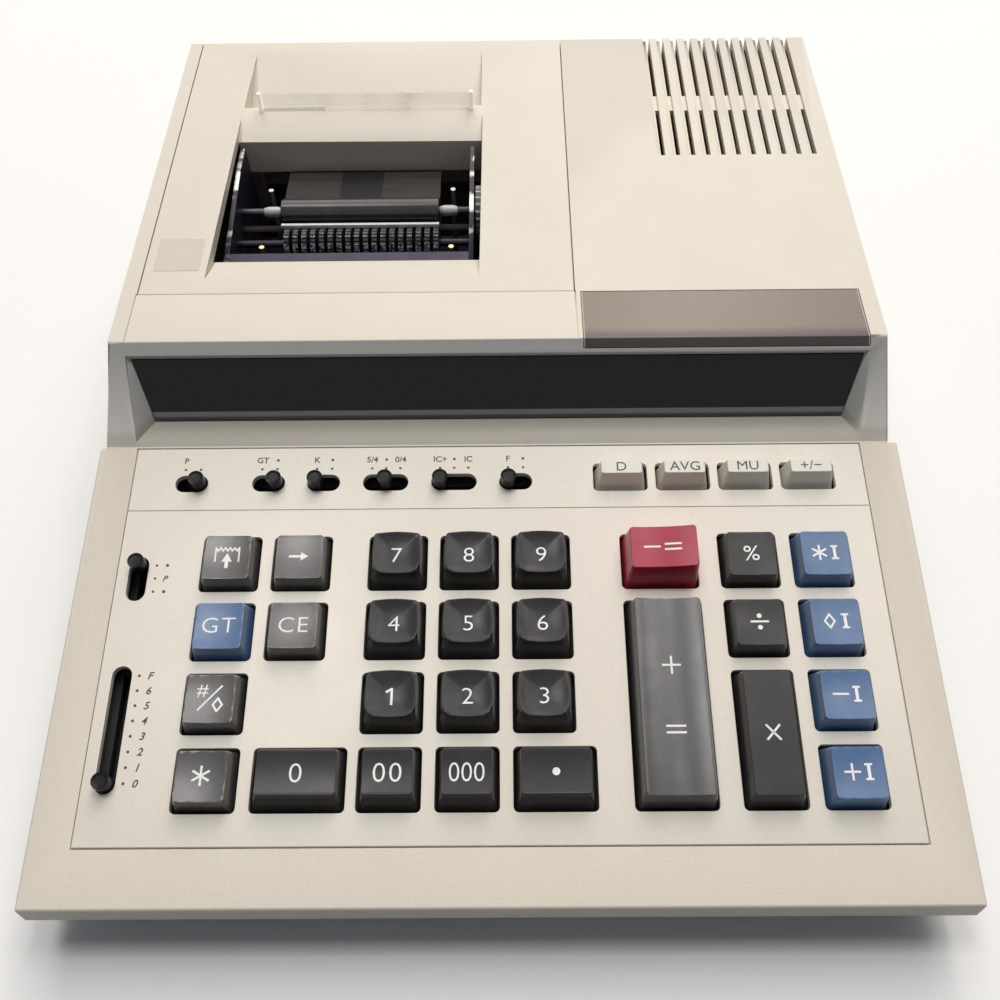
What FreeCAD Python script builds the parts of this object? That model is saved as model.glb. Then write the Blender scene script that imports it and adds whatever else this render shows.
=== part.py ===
import FreeCAD, Part
import os
import re
import Sketcher
from FreeCAD import Placement, Rotation, Vector

# Desktop printing calculator, millimetres, +Z up, +Y towards the rear.
# The origin is on the table, under the middle of the case.

# Driving sizes

SIZES = {
    # Case as a whole
    "overall_width": 224.6,
    "overall_depth": 284.0,
    "housing_width": 219.6,
    "housing_top_width": 217.2,
    "skirt_height": 16.0,
    "wall": 2.5,
    "part_gap": 0.3,
    # Sloping keyboard deck
    "lip_height": 22.5,
    "deck_slope": 11.0,
    "deck_length": 122.6,
    "deck_wall": 3.0,
    # Sloping face and top of the housing
    "face_slope": 45.6,
    "face_length": 29.7,
    "top_slope": 3.2,
    # Display recess, up the face and into it
    "recess_foot": 1.8,
    "recess_head": 25.9,
    "recess_foot_width": 204.0,
    "recess_head_width": 207.8,
    "ledge_rise": 7.1,
    "ledge_depth": 6.0,
    "window_head_rise": 25.1,
    "window_head_depth": 1.0,
    "window_foot_width": 196.6,
    "window_head_width": 205.2,
    "window_thickness": 2.0,
    "window_frame": 2.0,
    "window_border": 3.0,
    "window_gap": 0.2,
    # Display behind the window
    "tube_width": 150.0,
    "tube_height": 12.0,
    "tube_thickness": 3.0,
    "tube_drop": 4.6,
    "display_board_drop": 8.0,
    "board_thickness": 1.6,
    "display_board_width": 186.0,
    "display_arm_x": 86.0,
    # Keyboard panel set into the deck
    "panel_width": 202.8,
    "panel_front": 14.0,
    "panel_rear": 122.2,
    "panel_thickness": 1.8,
    "panel_proud": 0.2,
    "panel_seat": 2.4,
    "panel_crease": 102.8,
    "crease_width": 0.5,
    "crease_depth": 0.4,
    # Keys
    "key_pitch": 19.05,
    "key_hole": 15.7,
    "key_gap": 0.4,
    "key_height": 5.0,
    "tall_key_height": 9.2,
    "key_taper": 1.35,
    "key_skirt": 2.6,
    "key_wall": 1.2,
    "key_roof": 2.2,
    "key_corner": 0.8,
    "dish_radius": 30.0,
    "dish_depth": 0.6,
    "first_row": 29.6,
    "function_x": -71.4,
    "digit_x": -26.7,
    "zero_x": -48.7,
    "zero_width": 23.0,
    "point_x": 13.8,
    "point_width": 20.5,
    "total_x": 42.85,
    "total_width": 20.3,
    "operator_x": 66.65,
    "memory_x": 86.05,
    "small_key_x": 33.9,
    "small_key_pitch": 17.25,
    "small_key_row": 112.2,
    "small_key_width": 14.9,
    "small_key_depth": 8.4,
    # Key stems, and the frame that guides them
    "stem_size": 4.0,
    "stem_clearance": 0.1,
    "stem_spread": 6.0,
    "long_stem_spread": 15.0,
    "stem_foot": 1.0,
    "stem_foot_overhang": 0.8,
    "stop_gap": 0.05,
    "frame_drop": 6.2,
    "frame_plate": 2.0,
    "sleeve_length": 4.0,
    "sleeve_wall": 1.4,
    "frame_front": 21.0,
    "frame_rear": 121.0,
    "frame_width": 211.0,
    "board_drop": 16.6,
    "board_width": 196.0,
    "board_front": 18.0,
    "board_rear": 120.5,
    "board_post_radius": 2.5,
    "post_inner_x": 24.0,
    "post_outer_x": 94.0,
    # Slide switches
    "knob_diameter": 4.3,
    "knob_height": 4.0,
    "knob_skirt": 1.0,
    "slot_width": 5.0,
    "slot_end_gap": 0.35,
    "switch_row": 111.1,
    "power_x": -84.95,
    "total_switch_x": -63.6,
    "constant_x": -48.3,
    "rounding_x": -31.1,
    "counter_x": -12.15,
    "add_mode_x": 4.95,
    "short_step": 4.0,
    "step": 3.75,
    "side_slot_x": -95.8,
    "side_switch_row": 82.8,
    "decimal_row": 42.56,
    "decimal_step": 3.867,
    "shank_width": 2.0,
    "shank_length": 3.0,
    "switch_height": 5.0,
    "switch_wall": 1.5,
    "switch_floor": 1.2,
    "switch_clearance": 0.25,
    # Plate on the top
    "plate_left": 24.0,
    "plate_right": 103.9,
    "plate_depth": 18.4,
    "plate_fold": 2.8,
    "plate_thickness": 0.8,
    "plate_gap": 0.15,
    # Printer cover
    "cover_left": -104.0,
    "cover_right": 22.6,
    "cover_front": 18.35,
    "cover_wall": 2.5,
    "cover_gap": 0.25,
    "rail_width": 2.0,
    "rail_thickness": 2.0,
    "well_left": -85.0,
    "well_right": -4.8,
    "well_bevel_front": 25.0,
    "well_front": 35.8,
    "well_rim": 3.7,
    "well_rim_wall": 1.8,
    "ridge_front": 100.5,
    "ridge_nose": 91.8,
    "ridge_nose_drop": 3.2,
    "ridge_lip": 90.2,
    "ridge_lip_drop": 14.0,
    "ridge_rear": 106.0,
    "trough_left": -84.2,
    "trough_right": -5.2,
    "trough_wall": 2.0,
    "trough_front": 109.0,
    "trough_floor_rear": 112.0,
    "trough_drop": 8.5,
    "ramp_rear": 136.2,
    # Hinge of the cover, and the paper slot
    "hinge_inset": 3.0,
    "hinge_height": 66.0,
    "hinge_pin_radius": 1.5,
    "hinge_clearance": 0.1,
    "hinge_knuckle": 2.5,
    "hinge_sweep": 4.6,
    "ear_thickness": 2.0,
    "ear_width": 8.0,
    "slot_left": -80.0,
    "slot_right": -10.0,
    "slot_sill": 57.0,
    # Tear-off blade
    "blade_left": -79.0,
    "blade_right": -7.8,
    "blade_start": 103.6,
    "blade_lean": 0.5,
    "blade_height": 6.4,
    "blade_thickness": 1.2,
    "blade_foot": 2.3,
    # Vents
    "vent_x": 51.6,
    "vent_pitch": 4.84,
    "vent_count": 11,
    "vent_groove": 2.4,
    "vent_groove_depth": 0.9,
    "vent_slot": 1.2,
    "vent_front": 78.9,
    "vent_bridge_front": 103.2,
    "vent_bridge_rear": 111.0,
    "vent_wrap": 7.0,
    # Printer
    "printer_left": -84.0,
    "printer_right": -7.2,
    "chassis_wall": 1.5,
    "chassis_front": 38.6,
    "chassis_rear": 90.0,
    "chassis_front_drop": 8.8,
    "chassis_rear_drop": 3.2,
    "chassis_floor": 30.0,
    "crossbar_drop": 6.4,
    "crossbar_rear": 44.9,
    "shaft_radius": 1.2,
    "shaft_clearance": 0.05,
    "platen_run": 67.7,
    "platen_drop": 12.0,
    "platen_radius": 4.1,
    "platen_left": -69.3,
    "platen_right": -18.6,
    "collar_radius": 1.7,
    "collar_length": 6.0,
    "wheel_run": 55.1,
    "wheel_drop": 14.2,
    "wheel_radius": 4.7,
    "wheel_width": 1.9,
    "wheel_pitch": 2.77,
    "wheel_count": 18,
    "wheel_left": -67.3,
    "guide_gap": 1.3,
    "guide_thickness": 0.8,
    "guide_rear": 88.0,
    "guide_rear_drop": 12.6,
    "gear_module": 0.7,
    "platen_teeth": 20,
    "pinion_teeth": 12,
    "gear_width": 2.6,
    "gear_gap": 0.5,
    "mesh_angle": -50.0,
    "motor_radius": 9.5,
    "motor_length": 21.0,
    "motor_shaft_radius": 1.0,
    "bracket_x": -2.8,
    # Mains side
    "transformer_x": 69.0,
    "transformer_inset": 44.0,
    "core_width": 46.0,
    "core_thickness": 18.0,
    "core_height": 38.0,
    "core_leg": 9.0,
    "coil_overhang": 9.0,
    "coil_gap": 0.3,
    "inlet_x": 60.0,
    "inlet_height": 28.0,
    "inlet_width": 24.0,
    "inlet_tall": 14.0,
    "inlet_depth": 16.0,
    "inlet_mouth_width": 18.0,
    "inlet_mouth_height": 9.0,
    "inlet_mouth_depth": 11.0,
    "inlet_pin_radius": 1.1,
    "inlet_pin_spacing": 8.6,
    "inlet_flange": 1.5,
    # Lower case, feet and screws
    "foot_height": 4.0,
    "tub_inset": 5.0,
    "tongue": 2.2,
    "foot_radius": 7.0,
    "foot_spigot_radius": 2.0,
    "foot_x": 84.0,
    "foot_front": 22.0,
    "foot_rear_inset": 28.0,
    "screw_x": 92.0,
    "screw_front": 14.0,
    "screw_rear_inset": 13.5,
    "boss_radius": 3.4,
    "boss_meet": 11.0,
    "rear_boss_top": 40.0,
    "boss_web": 2.4,
    "screw_shank_radius": 1.5,
    "screw_head_radius": 2.7,
    "screw_head_height": 1.8,
    "screw_length": 14.0,
    "screw_clearance": 0.08,
}

# Places worked out from the driving sizes

DERIVED = {
    "front_y": "-overall_depth / 2",
    "rear_y": "overall_depth / 2",
    "junction_y": "front_y + deck_length * cos(deck_slope)",
    "junction_z": "lip_height + deck_length * sin(deck_slope)",
    "brow_y": "junction_y + face_length * cos(face_slope)",
    "brow_z": "junction_z + face_length * sin(face_slope)",
    "rear_top_z": "brow_z + (rear_y - brow_y) * tan(top_slope)",
    "inner_width": "housing_top_width - 2 * wall",
    "ledge_y": "junction_y + ledge_rise * cos(face_slope) + ledge_depth * sin(face_slope)",
    "ledge_z": "junction_z + ledge_rise * sin(face_slope) - ledge_depth * cos(face_slope)",
    "window_tilt": "atan((ledge_depth - window_head_depth) / (window_head_rise - ledge_rise)) / 1deg",
    "window_slope": "face_slope + window_tilt",
    "window_height": "(window_head_rise - ledge_rise) / cos(window_tilt)",
    "panel_top": "panel_proud",
    "panel_bottom": "panel_proud - panel_thickness",
    "sleeve_bottom": "-frame_drop - frame_plate - sleeve_length",
    "frame_bottom": "-frame_drop - frame_plate",
    "hinge_y": "rear_y - hinge_inset",
    "platen_y": "brow_y + platen_run * cos(top_slope) + platen_drop * sin(top_slope)",
    "platen_z": "brow_z + platen_run * sin(top_slope) - platen_drop * cos(top_slope)",
    "wheel_y": "brow_y + wheel_run * cos(top_slope) + wheel_drop * sin(top_slope)",
    "wheel_z": "brow_z + wheel_run * sin(top_slope) - wheel_drop * cos(top_slope)",
    "gear_distance": "gear_module * (platen_teeth + pinion_teeth) / 2",
    "pinion_y": "platen_y + gear_distance * cos(mesh_angle)",
    "pinion_z": "platen_z + gear_distance * sin(mesh_angle)",
    "gear_left": "printer_right + gear_gap",
    "front_screw_y": "front_y + screw_front",
    "rear_screw_y": "rear_y - screw_rear_inset",
    "front_foot_y": "front_y + foot_front",
    "rear_foot_y": "rear_y - foot_rear_inset",
    "transformer_y": "rear_y - transformer_inset",
    "floor_z": "foot_height + wall",
    "tub_width": "inner_width - 2 * part_gap",
    "tub_front": "front_y + wall + part_gap",
    "tub_rear": "rear_y - wall - part_gap",
    "plate_corner": "plate_thickness * tan((face_slope - top_slope) / 2)",
}

doc = FreeCAD.newDocument("desk_calculator")
sheet = doc.addObject("Spreadsheet::Sheet", "Sizes")
for row, (alias, number) in enumerate(SIZES.items(), start=1):
    sheet.set("A%d" % row, alias.replace("_", " "))
    sheet.set("B%d" % row, str(number))
    sheet.setAlias("B%d" % row, alias)
doc.recompute()

WORD = re.compile(r"[a-z][a-z_0-9]*")


def bound(text):
    """Turn size names and derived names into an expression on the sheet."""
    def swap(match):
        word = match.group(0)
        if word in DERIVED:
            return "(" + bound(DERIVED[word]) + ")"
        return "Sizes." + word if word in SIZES else word
    return WORD.sub(swap, str(text))


def value(text):
    """The number that an expression gives now."""
    result = sheet.evalExpression(bound(text))
    return float(getattr(result, "Value", result))


# Frames for side profiles: each gives a (y, z) pair of expressions

def deck(along, above):
    """Along the keyboard deck from its front lip, and above its surface."""
    return ("front_y + (%s) * cos(deck_slope) - (%s) * sin(deck_slope)" % (along, above),
            "lip_height + (%s) * sin(deck_slope) + (%s) * cos(deck_slope)" % (along, above))


def face(rise, depth):
    """Up the sloping face from the deck, and into it."""
    return ("junction_y + (%s) * cos(face_slope) + (%s) * sin(face_slope)" % (rise, depth),
            "junction_z + (%s) * sin(face_slope) - (%s) * cos(face_slope)" % (rise, depth))


def window(rise, depth):
    """Up the display window from the ledge, and behind it."""
    return ("ledge_y + (%s) * cos(window_slope) + (%s) * sin(window_slope)" % (rise, depth),
            "ledge_z + (%s) * sin(window_slope) - (%s) * cos(window_slope)" % (rise, depth))


def top(run, depth):
    """Back along the housing's top from its front edge, and down into it."""
    return ("brow_y + (%s) * cos(top_slope) + (%s) * sin(top_slope)" % (run, depth),
            "brow_z + (%s) * sin(top_slope) - (%s) * cos(top_slope)" % (run, depth))


def under_top(y, depth):
    """Below the housing's top at a given y, measured square to the surface."""
    return (y, "brow_z + (%s - brow_y) * tan(top_slope) - (%s) / cos(top_slope)" % (y, depth))


# Sketch and feature helpers

def new_body(label):
    body = doc.addObject("PartDesign::Body", label)
    body.Label = label
    return body


def place(body, x, y, z, angle=None):
    """Put a body at a place, turned about the X axis."""
    turn = value(angle) if angle else 0.0
    body.Placement = Placement(Vector(value(x), value(y), value(z)), Rotation(Vector(1, 0, 0), turn))
    body.setExpression("Placement.Base.x", bound(x))
    body.setExpression("Placement.Base.y", bound(y))
    body.setExpression("Placement.Base.z", bound(z))
    if angle:
        body.setExpression("Placement.Rotation.Angle", bound(angle))


def new_sketch(body, plane, lift="0"):
    sketch = body.newObject("Sketcher::SketchObject", "Sketch")
    support = [item for item in body.Origin.OriginFeatures if item.Role == plane][0]
    sketch.AttachmentSupport = [(support, "")]
    sketch.MapMode = "FlatFace"
    sketch.setExpression("AttachmentOffset.Base.z", bound(lift))
    return sketch


def tilted_sketch(body, origin, angle):
    """A sketch whose X axis is the case's and whose Y axis climbs at an angle."""
    sketch = new_sketch(body, "XY_Plane")
    y, z = origin
    sketch.AttachmentOffset = Placement(Vector(0, value(y), value(z)), Rotation(Vector(1, 0, 0), value(angle)))
    sketch.setExpression("AttachmentOffset.Base.y", bound(y))
    sketch.setExpression("AttachmentOffset.Base.z", bound(z))
    sketch.setExpression("AttachmentOffset.Rotation.Angle", bound(angle))
    return sketch


def hold(sketch, rules):
    """Add constraints in one go, each bound to its size expression."""
    first = sketch.ConstraintCount
    sketch.addConstraint([Sketcher.Constraint(*rule, value(text)) for rule, text in rules])
    for number, (rule, text) in enumerate(rules, start=first):
        sketch.setExpression("Constraints[%d]" % number, bound(text))


def outlines(sketch, loops):
    """Closed straight-sided outlines, each through (x, y) pairs of expressions."""
    sides, joins, rules = [], [], []
    for corners in loops:
        first = len(sides)
        count = len(corners)
        points = [Vector(value(x), value(y), 0) for x, y in corners]
        for i, (x, y) in enumerate(corners):
            sides.append(Part.LineSegment(points[i], points[(i + 1) % count]))
            joins.append(Sketcher.Constraint("Coincident", first + i, 2, first + (i + 1) % count, 1))
            rules.append((("DistanceX", -1, 1, first + i, 1), x))
            rules.append((("DistanceY", -1, 1, first + i, 1), y))
    sketch.addGeometry(sides, False)
    sketch.addConstraint(joins)
    hold(sketch, rules)


def outline(sketch, corners):
    outlines(sketch, [corners])


def box(left, right, low, high):
    """The corners of an upright rectangle."""
    return [(left, low), (right, low), (right, high), (left, high)]


def box_at(x, y, width, height):
    """The corners of a rectangle about its middle."""
    return box("%s - (%s) / 2" % (x, width), "%s + (%s) / 2" % (x, width),
               "%s - (%s) / 2" % (y, height), "%s + (%s) / 2" % (y, height))


def disc(sketch, x, y, radius):
    circle = Part.Circle(Vector(value(x), value(y), 0), Vector(0, 0, 1), value(radius))
    geometry = sketch.addGeometry(circle, False)
    hold(sketch, [(("DistanceX", -1, 1, geometry, 3), x), (("DistanceY", -1, 1, geometry, 3), y),
                  (("Radius", geometry), radius)])


def pad(body, sketch, length, symmetric=False, downward=False):
    feature = body.newObject("PartDesign::Pad", "Pad")
    feature.Profile = sketch
    feature.setExpression("Length", bound(length))
    feature.SideType = "Symmetric" if symmetric else "One side"
    feature.Reversed = downward
    return feature


def pocket(body, sketch, length, symmetric=False, upward=False):
    feature = body.newObject("PartDesign::Pocket", "Pocket")
    feature.Profile = sketch
    feature.setExpression("Length", bound(length))
    feature.SideType = "Symmetric" if symmetric else "One side"
    feature.Reversed = upward
    return feature


def across(body, corners, width):
    """A side profile padded evenly to both sides of the middle."""
    sketch = new_sketch(body, "YZ_Plane")
    outline(sketch, corners)
    return pad(body, sketch, width, symmetric=True)


def cut_across(body, corners, width):
    sketch = new_sketch(body, "YZ_Plane")
    outline(sketch, corners)
    return pocket(body, sketch, width, symmetric=True)


def between(body, corners, left, right):
    """A side profile padded from one x to another."""
    sketch = new_sketch(body, "YZ_Plane", left)
    outline(sketch, corners)
    return pad(body, sketch, "%s - (%s)" % (right, left))


def cut_between(body, corners, left, right):
    sketch = new_sketch(body, "YZ_Plane", left)
    outline(sketch, corners)
    return pocket(body, sketch, "%s - (%s)" % (right, left), upward=True)


def rod(body, y, z, radius, left, right):
    """A round bar along X."""
    sketch = new_sketch(body, "YZ_Plane", left)
    disc(sketch, y, z, radius)
    return pad(body, sketch, "%s - (%s)" % (right, left))


def bore(body, y, z, radius, left, right):
    sketch = new_sketch(body, "YZ_Plane", left)
    disc(sketch, y, z, radius)
    return pocket(body, sketch, "%s - (%s)" % (right, left), upward=True)


def post(body, x, y, radius, low, high):
    """A round pillar along Z."""
    sketch = new_sketch(body, "XY_Plane", low)
    disc(sketch, x, y, radius)
    return pad(body, sketch, "%s - (%s)" % (high, low))


def drill(body, x, y, radius, low, high):
    sketch = new_sketch(body, "XY_Plane", low)
    disc(sketch, x, y, radius)
    return pocket(body, sketch, "%s - (%s)" % (high, low), upward=True)


def slab(body, loops, low, high):
    """Outlines in plan, padded from one height to another."""
    sketch = new_sketch(body, "XY_Plane", low)
    outlines(sketch, loops)
    return pad(body, sketch, "%s - (%s)" % (high, low))


def cut_slab(body, loops, low, high):
    sketch = new_sketch(body, "XY_Plane", low)
    outlines(sketch, loops)
    return pocket(body, sketch, "%s - (%s)" % (high, low), upward=True)


def batches(loops, size=6):
    """Share many outlines among several sketches, which solve far faster than one."""
    return [loops[start:start + size] for start in range(0, len(loops), size)]


def block(body, loops, front, rear):
    """Outlines seen from the front, padded from one depth to another."""
    sketch = new_sketch(body, "XZ_Plane", "-(%s)" % rear)
    outlines(sketch, loops)
    return pad(body, sketch, "%s - (%s)" % (rear, front))


def cut_block(body, loops, front, rear):
    sketch = new_sketch(body, "XZ_Plane", "-(%s)" % front)
    outlines(sketch, loops)
    return pocket(body, sketch, "%s - (%s)" % (rear, front))


def loft(body, kind, first, second):
    feature = body.newObject(kind, "Loft")
    feature.Profile = first
    feature.Sections = [second]
    feature.Ruled = True
    return feature


def origin_axis(body, role):
    return [item for item in body.Origin.OriginFeatures if item.Role == role][0]


NODES = {}


def keep(label, item):
    """File a finished sub-part under its node name."""
    item.Label = label
    NODES[label] = item


# Keys: name, x, place along the deck, hole width, hole depth, height, shape of the top, stem offsets

ONE_STEM = [("0", "0")]
WIDE_STEMS = [("-stem_spread", "0"), ("stem_spread", "0")]
DEEP_STEMS = [("0", "-stem_spread"), ("0", "stem_spread")]
LONG_STEMS = [("0", "-long_stem_spread"), ("0", "long_stem_spread")]


def square_key(name, x, row, top_shape="bowl"):
    along = "first_row + %s * key_pitch" % row
    return (name, x, along, "key_hole", "key_hole", "key_height", top_shape, ONE_STEM)


KEYS = [
    square_key("key_paper_feed", "function_x", 3),
    square_key("key_backspace", "function_x + key_pitch", 3),
    square_key("key_grand_total", "function_x", 2),
    square_key("key_clear_entry", "function_x + key_pitch", 2),
    square_key("key_number_subtotal", "function_x", 1),
    square_key("key_total", "function_x", 0),
    square_key("key_percent", "operator_x", 3),
    square_key("key_divide", "operator_x", 2),
    square_key("key_memory_total", "memory_x", 3),
    square_key("key_memory_subtotal", "memory_x", 2),
    square_key("key_memory_minus", "memory_x", 1),
    square_key("key_memory_plus", "memory_x", 0),
    square_key("key_00", "digit_x", 0, top_shape="scoop"),
    square_key("key_000", "digit_x + key_pitch", 0, top_shape="scoop"),
    ("key_0", "zero_x", "first_row", "zero_width", "key_hole", "key_height", "scoop", WIDE_STEMS),
    ("key_point", "point_x", "first_row", "point_width", "key_hole", "key_height", "scoop", WIDE_STEMS),
    ("key_minus_equals", "total_x", "first_row + 3 * key_pitch", "total_width", "key_hole",
     "tall_key_height", "scoop", WIDE_STEMS),
    ("key_plus_equals", "total_x", "first_row + key_pitch", "total_width", "key_hole + 2 * key_pitch",
     "key_height", "scoop", LONG_STEMS),
    ("key_multiply", "operator_x", "first_row + key_pitch / 2", "key_hole", "key_hole + key_pitch",
     "key_height", "bowl", DEEP_STEMS),
]
for digit in range(1, 10):
    column, line = (digit - 1) % 3, (digit - 1) // 3
    KEYS.append(square_key("key_%d" % digit, "digit_x + %d * key_pitch" % column, line + 1))
for place_number, name in enumerate(("key_date", "key_average", "key_markup", "key_sign_change")):
    KEYS.append((name, "small_key_x + %d * small_key_pitch" % place_number, "small_key_row",
                 "small_key_width", "small_key_depth", "key_height", "flat", ONE_STEM))

# Slide switches: name, x, place along the deck, slot runs across the deck, steps, knob's place in steps

SWITCHES = [
    ("slide_power", "power_x", "switch_row", True, "short_step", 1, 1),
    ("slide_grand_total", "total_switch_x", "switch_row", True, "short_step", 1, 1),
    ("slide_constant", "constant_x", "switch_row", True, "short_step", 1, 0),
    ("slide_rounding", "rounding_x", "switch_row", True, "step", 2, 1),
    ("slide_item_counter", "counter_x", "switch_row", True, "step", 2, 0),
    ("slide_add_mode", "add_mode_x", "switch_row", True, "short_step", 1, 0),
    ("slide_print_mode", "side_slot_x", "side_switch_row", False, "step", 2, 2),
    ("slide_decimal", "side_slot_x", "decimal_row", False, "decimal_step", 7, 0),
]


# Upper case: housing, keyboard deck, display recess and all that is moulded into them

def make_upper_case():
    body = new_body("upper_case")
    across(body, [("front_y", "skirt_height"), ("front_y", "lip_height"), ("junction_y", "junction_z"),
                  ("junction_y", "skirt_height")], "overall_width")
    across(body, [("junction_y", "skirt_height"), ("junction_y", "junction_z"), ("brow_y", "brow_z"),
                  ("rear_y", "rear_top_z"), ("rear_y", "skirt_height")], "housing_width")

    # The housing's sides lean in above the deck
    lean = "(housing_width - housing_top_width) / 2 / (brow_z - junction_z)"
    high = "rear_top_z + wall"
    for side in ("", "-"):
        sketch = new_sketch(body, "XZ_Plane")
        outline(sketch, [
            ("%s(housing_width / 2)" % side, "junction_z"),
            ("%s(housing_width / 2 + wall)" % side, "junction_z"),
            ("%s(housing_width / 2 + wall)" % side, high),
            ("%s(housing_width / 2 - (%s - junction_z) * %s)" % (side, high, lean), high),
        ])
        pocket(body, sketch, "2 * overall_depth", symmetric=True)

    # Hollow inside, open underneath; the deck is wider inside than the rim below it
    rim = "skirt_height + wall"
    inner_front = "front_y + wall"
    under_front = "lip_height + wall * tan(deck_slope) - deck_wall / cos(deck_slope)"
    under_junction = "junction_z - deck_wall / cos(deck_slope)"
    cut_across(body, [(inner_front, rim), (inner_front, under_front), ("junction_y", under_junction),
                      ("junction_y", rim)], "housing_width - 2 * wall")
    cut_across(body, [(inner_front, "skirt_height - 1"), (inner_front, rim), ("junction_y", rim),
                      ("junction_y", "skirt_height - 1")], "inner_width")
    behind = "window_thickness + window_frame"
    cut_across(body, [("junction_y", "skirt_height - 1"), ("junction_y", under_junction),
                      window("-wall", behind), window("window_height", behind),
                      top("window_frame + 1", "wall"), under_top("rear_y - wall", "wall"),
                      ("rear_y - wall", "skirt_height - 1")], "inner_width")

    # Display recess with sloping ends, and the seat and light opening of its window
    mouth = tilted_sketch(body, ("junction_y", "junction_z"), "face_slope")
    outline(mouth, [("-recess_foot_width / 2", "recess_foot"), ("recess_foot_width / 2", "recess_foot"),
                    ("recess_head_width / 2", "recess_head"), ("-recess_head_width / 2", "recess_head")])
    seat_corners = [("-window_foot_width / 2", "0"), ("window_foot_width / 2", "0"),
                    ("window_head_width / 2", "window_height"), ("-window_head_width / 2", "window_height")]
    inner = tilted_sketch(body, ("ledge_y", "ledge_z"), "window_slope")
    outline(inner, seat_corners)
    loft(body, "PartDesign::SubtractiveLoft", mouth, inner)
    seat = tilted_sketch(body, ("ledge_y", "ledge_z"), "window_slope")
    outline(seat, seat_corners)
    pocket(body, seat, "window_thickness")
    light = tilted_sketch(body, ("ledge_y", "ledge_z"), "window_slope")
    outline(light, [("-window_foot_width / 2 + window_border", "window_border"),
                    ("window_foot_width / 2 - window_border", "window_border"),
                    ("window_head_width / 2 - window_border", "window_height - window_border"),
                    ("-window_head_width / 2 + window_border", "window_height - window_border")])
    pocket(body, light, "window_thickness + 2 * window_frame")

    # Arms at the sides that hold the display board
    arm = [window("window_height / 2 - 2", behind), window("window_height / 2 + 2", behind),
           window("window_height / 2 + 2", "display_board_drop"),
           window("window_height / 2 - 2", "display_board_drop")]
    between(body, arm, "-inner_width / 2 - 1", "-display_arm_x")
    between(body, arm, "display_arm_x", "inner_width / 2 + 1")

    # Rebate and opening for the keyboard panel
    rebate = "panel_width + 2 * part_gap"
    cut_across(body, [deck("panel_front - part_gap", "1"), deck("panel_front - part_gap", "panel_bottom"),
                      deck("deck_length", "panel_bottom"), deck("deck_length", "0"),
                      deck("deck_length - 1", "1")], rebate)
    cut_across(body, [deck("panel_front + panel_seat", "1"),
                      deck("panel_front + panel_seat", "-deck_wall - 1"),
                      deck("panel_rear - panel_seat", "-deck_wall - 1"),
                      deck("panel_rear - panel_seat", "panel_bottom + 1")], "panel_width - 2 * panel_seat")

    # Rails under the deck that the key frame is screwed to
    for side in ("-", ""):
        near, far = "panel_width / 2", "frame_width / 2"
        ends = (near, far) if side == "" else ("-" + far, "-" + near)
        between(body, [deck("frame_front + 3", "-deck_wall + 0.5"), deck("frame_front + 3", "-frame_drop"),
                       deck("frame_rear - 3", "-frame_drop"), deck("frame_rear - 3", "-deck_wall + 0.5")],
                *ends)

    # Opening of the printer cover, with the rails that it rests on
    cut_between(body, [top("cover_front", "-wall"), top("cover_front", "cover_wall"),
                       under_top("rear_y + wall", "cover_wall"), under_top("rear_y + wall", "-wall")],
                "cover_left", "cover_right")
    cut_between(body, [top("cover_front + rail_width", "-1"),
                       top("cover_front + rail_width", "2 * cover_wall"),
                       under_top("rear_y - wall", "2 * cover_wall"), under_top("rear_y - wall", "-1")],
                "cover_left + rail_width", "cover_right - rail_width")
    rail_drop = "cover_wall + rail_thickness"
    rail_end = "hinge_y - ear_width"
    side_wall = "-inner_width / 2 - 1"
    for left, right in ((side_wall, "cover_left + rail_width"),
                        ("cover_right - rail_width", "cover_right + rail_width")):
        between(body, [top("cover_front", "cover_wall"), top("cover_front", rail_drop),
                       under_top(rail_end, rail_drop), under_top(rail_end, "cover_wall")], left, right)
    between(body, [top("cover_front - rail_width", "wall / 2"), top("cover_front - rail_width", rail_drop),
                   top("cover_front + rail_width", rail_drop), top("cover_front + rail_width", "cover_wall"),
                   top("cover_front", "cover_wall"), top("cover_front", "wall / 2")],
            side_wall, "cover_right + rail_width")

    # Rear wall below the cover's flap, and the slot that the paper comes in through
    sill = "hinge_height - hinge_sweep"
    cut_between(body, [("rear_y - wall - 1", sill), ("rear_y + 1", sill), under_top("rear_y + 1", "-1"),
                       under_top("rear_y - wall - 1", "-1")], "cover_left", "cover_right")
    cut_between(body, [("rear_y - wall - 1", "slot_sill"), ("rear_y + 1", "slot_sill"),
                       ("rear_y + 1", "hinge_height"), ("rear_y - wall - 1", "hinge_height")],
                "slot_left", "slot_right")

    # Ears with the cover's pivot holes
    for left, right in ((side_wall, "cover_left"), ("cover_right", "cover_right + ear_thickness + 0.5")):
        between(body, [(rail_end, sill), ("rear_y - wall / 2", sill),
                       under_top("rear_y - wall / 2", "cover_wall"), under_top(rail_end, "wall")],
                left, right)
        bore(body, "hinge_y", "hinge_height", "hinge_pin_radius + hinge_clearance", left, right)

    # Seat of the plate that wraps over the front edge
    cut_between(body, [top("plate_depth", "-1"), top("plate_depth", "plate_thickness"),
                       top("plate_corner", "plate_thickness"),
                       face("face_length - plate_fold", "plate_thickness"),
                       face("face_length - plate_fold", "-1"), top("-0.5", "-1.5")],
                "plate_left", "plate_right")

    # Fine seam lines across the front strip
    for x in ("cover_left", "cover_right"):
        cut_between(body, [top("-0.5", "-1"), top("cover_front + 0.5", "-1"), top("cover_front + 0.5", "0.4"),
                           top("0", "0.4")], "%s - 0.2" % x, "%s + 0.2" % x)

    # Hole for the mains inlet
    hole = box_at("inlet_x", "inlet_height", "inlet_width + 2 * part_gap", "inlet_tall + 2 * part_gap")
    cut_block(body, [hole], "rear_y - wall - 1", "rear_y + 1")

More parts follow.
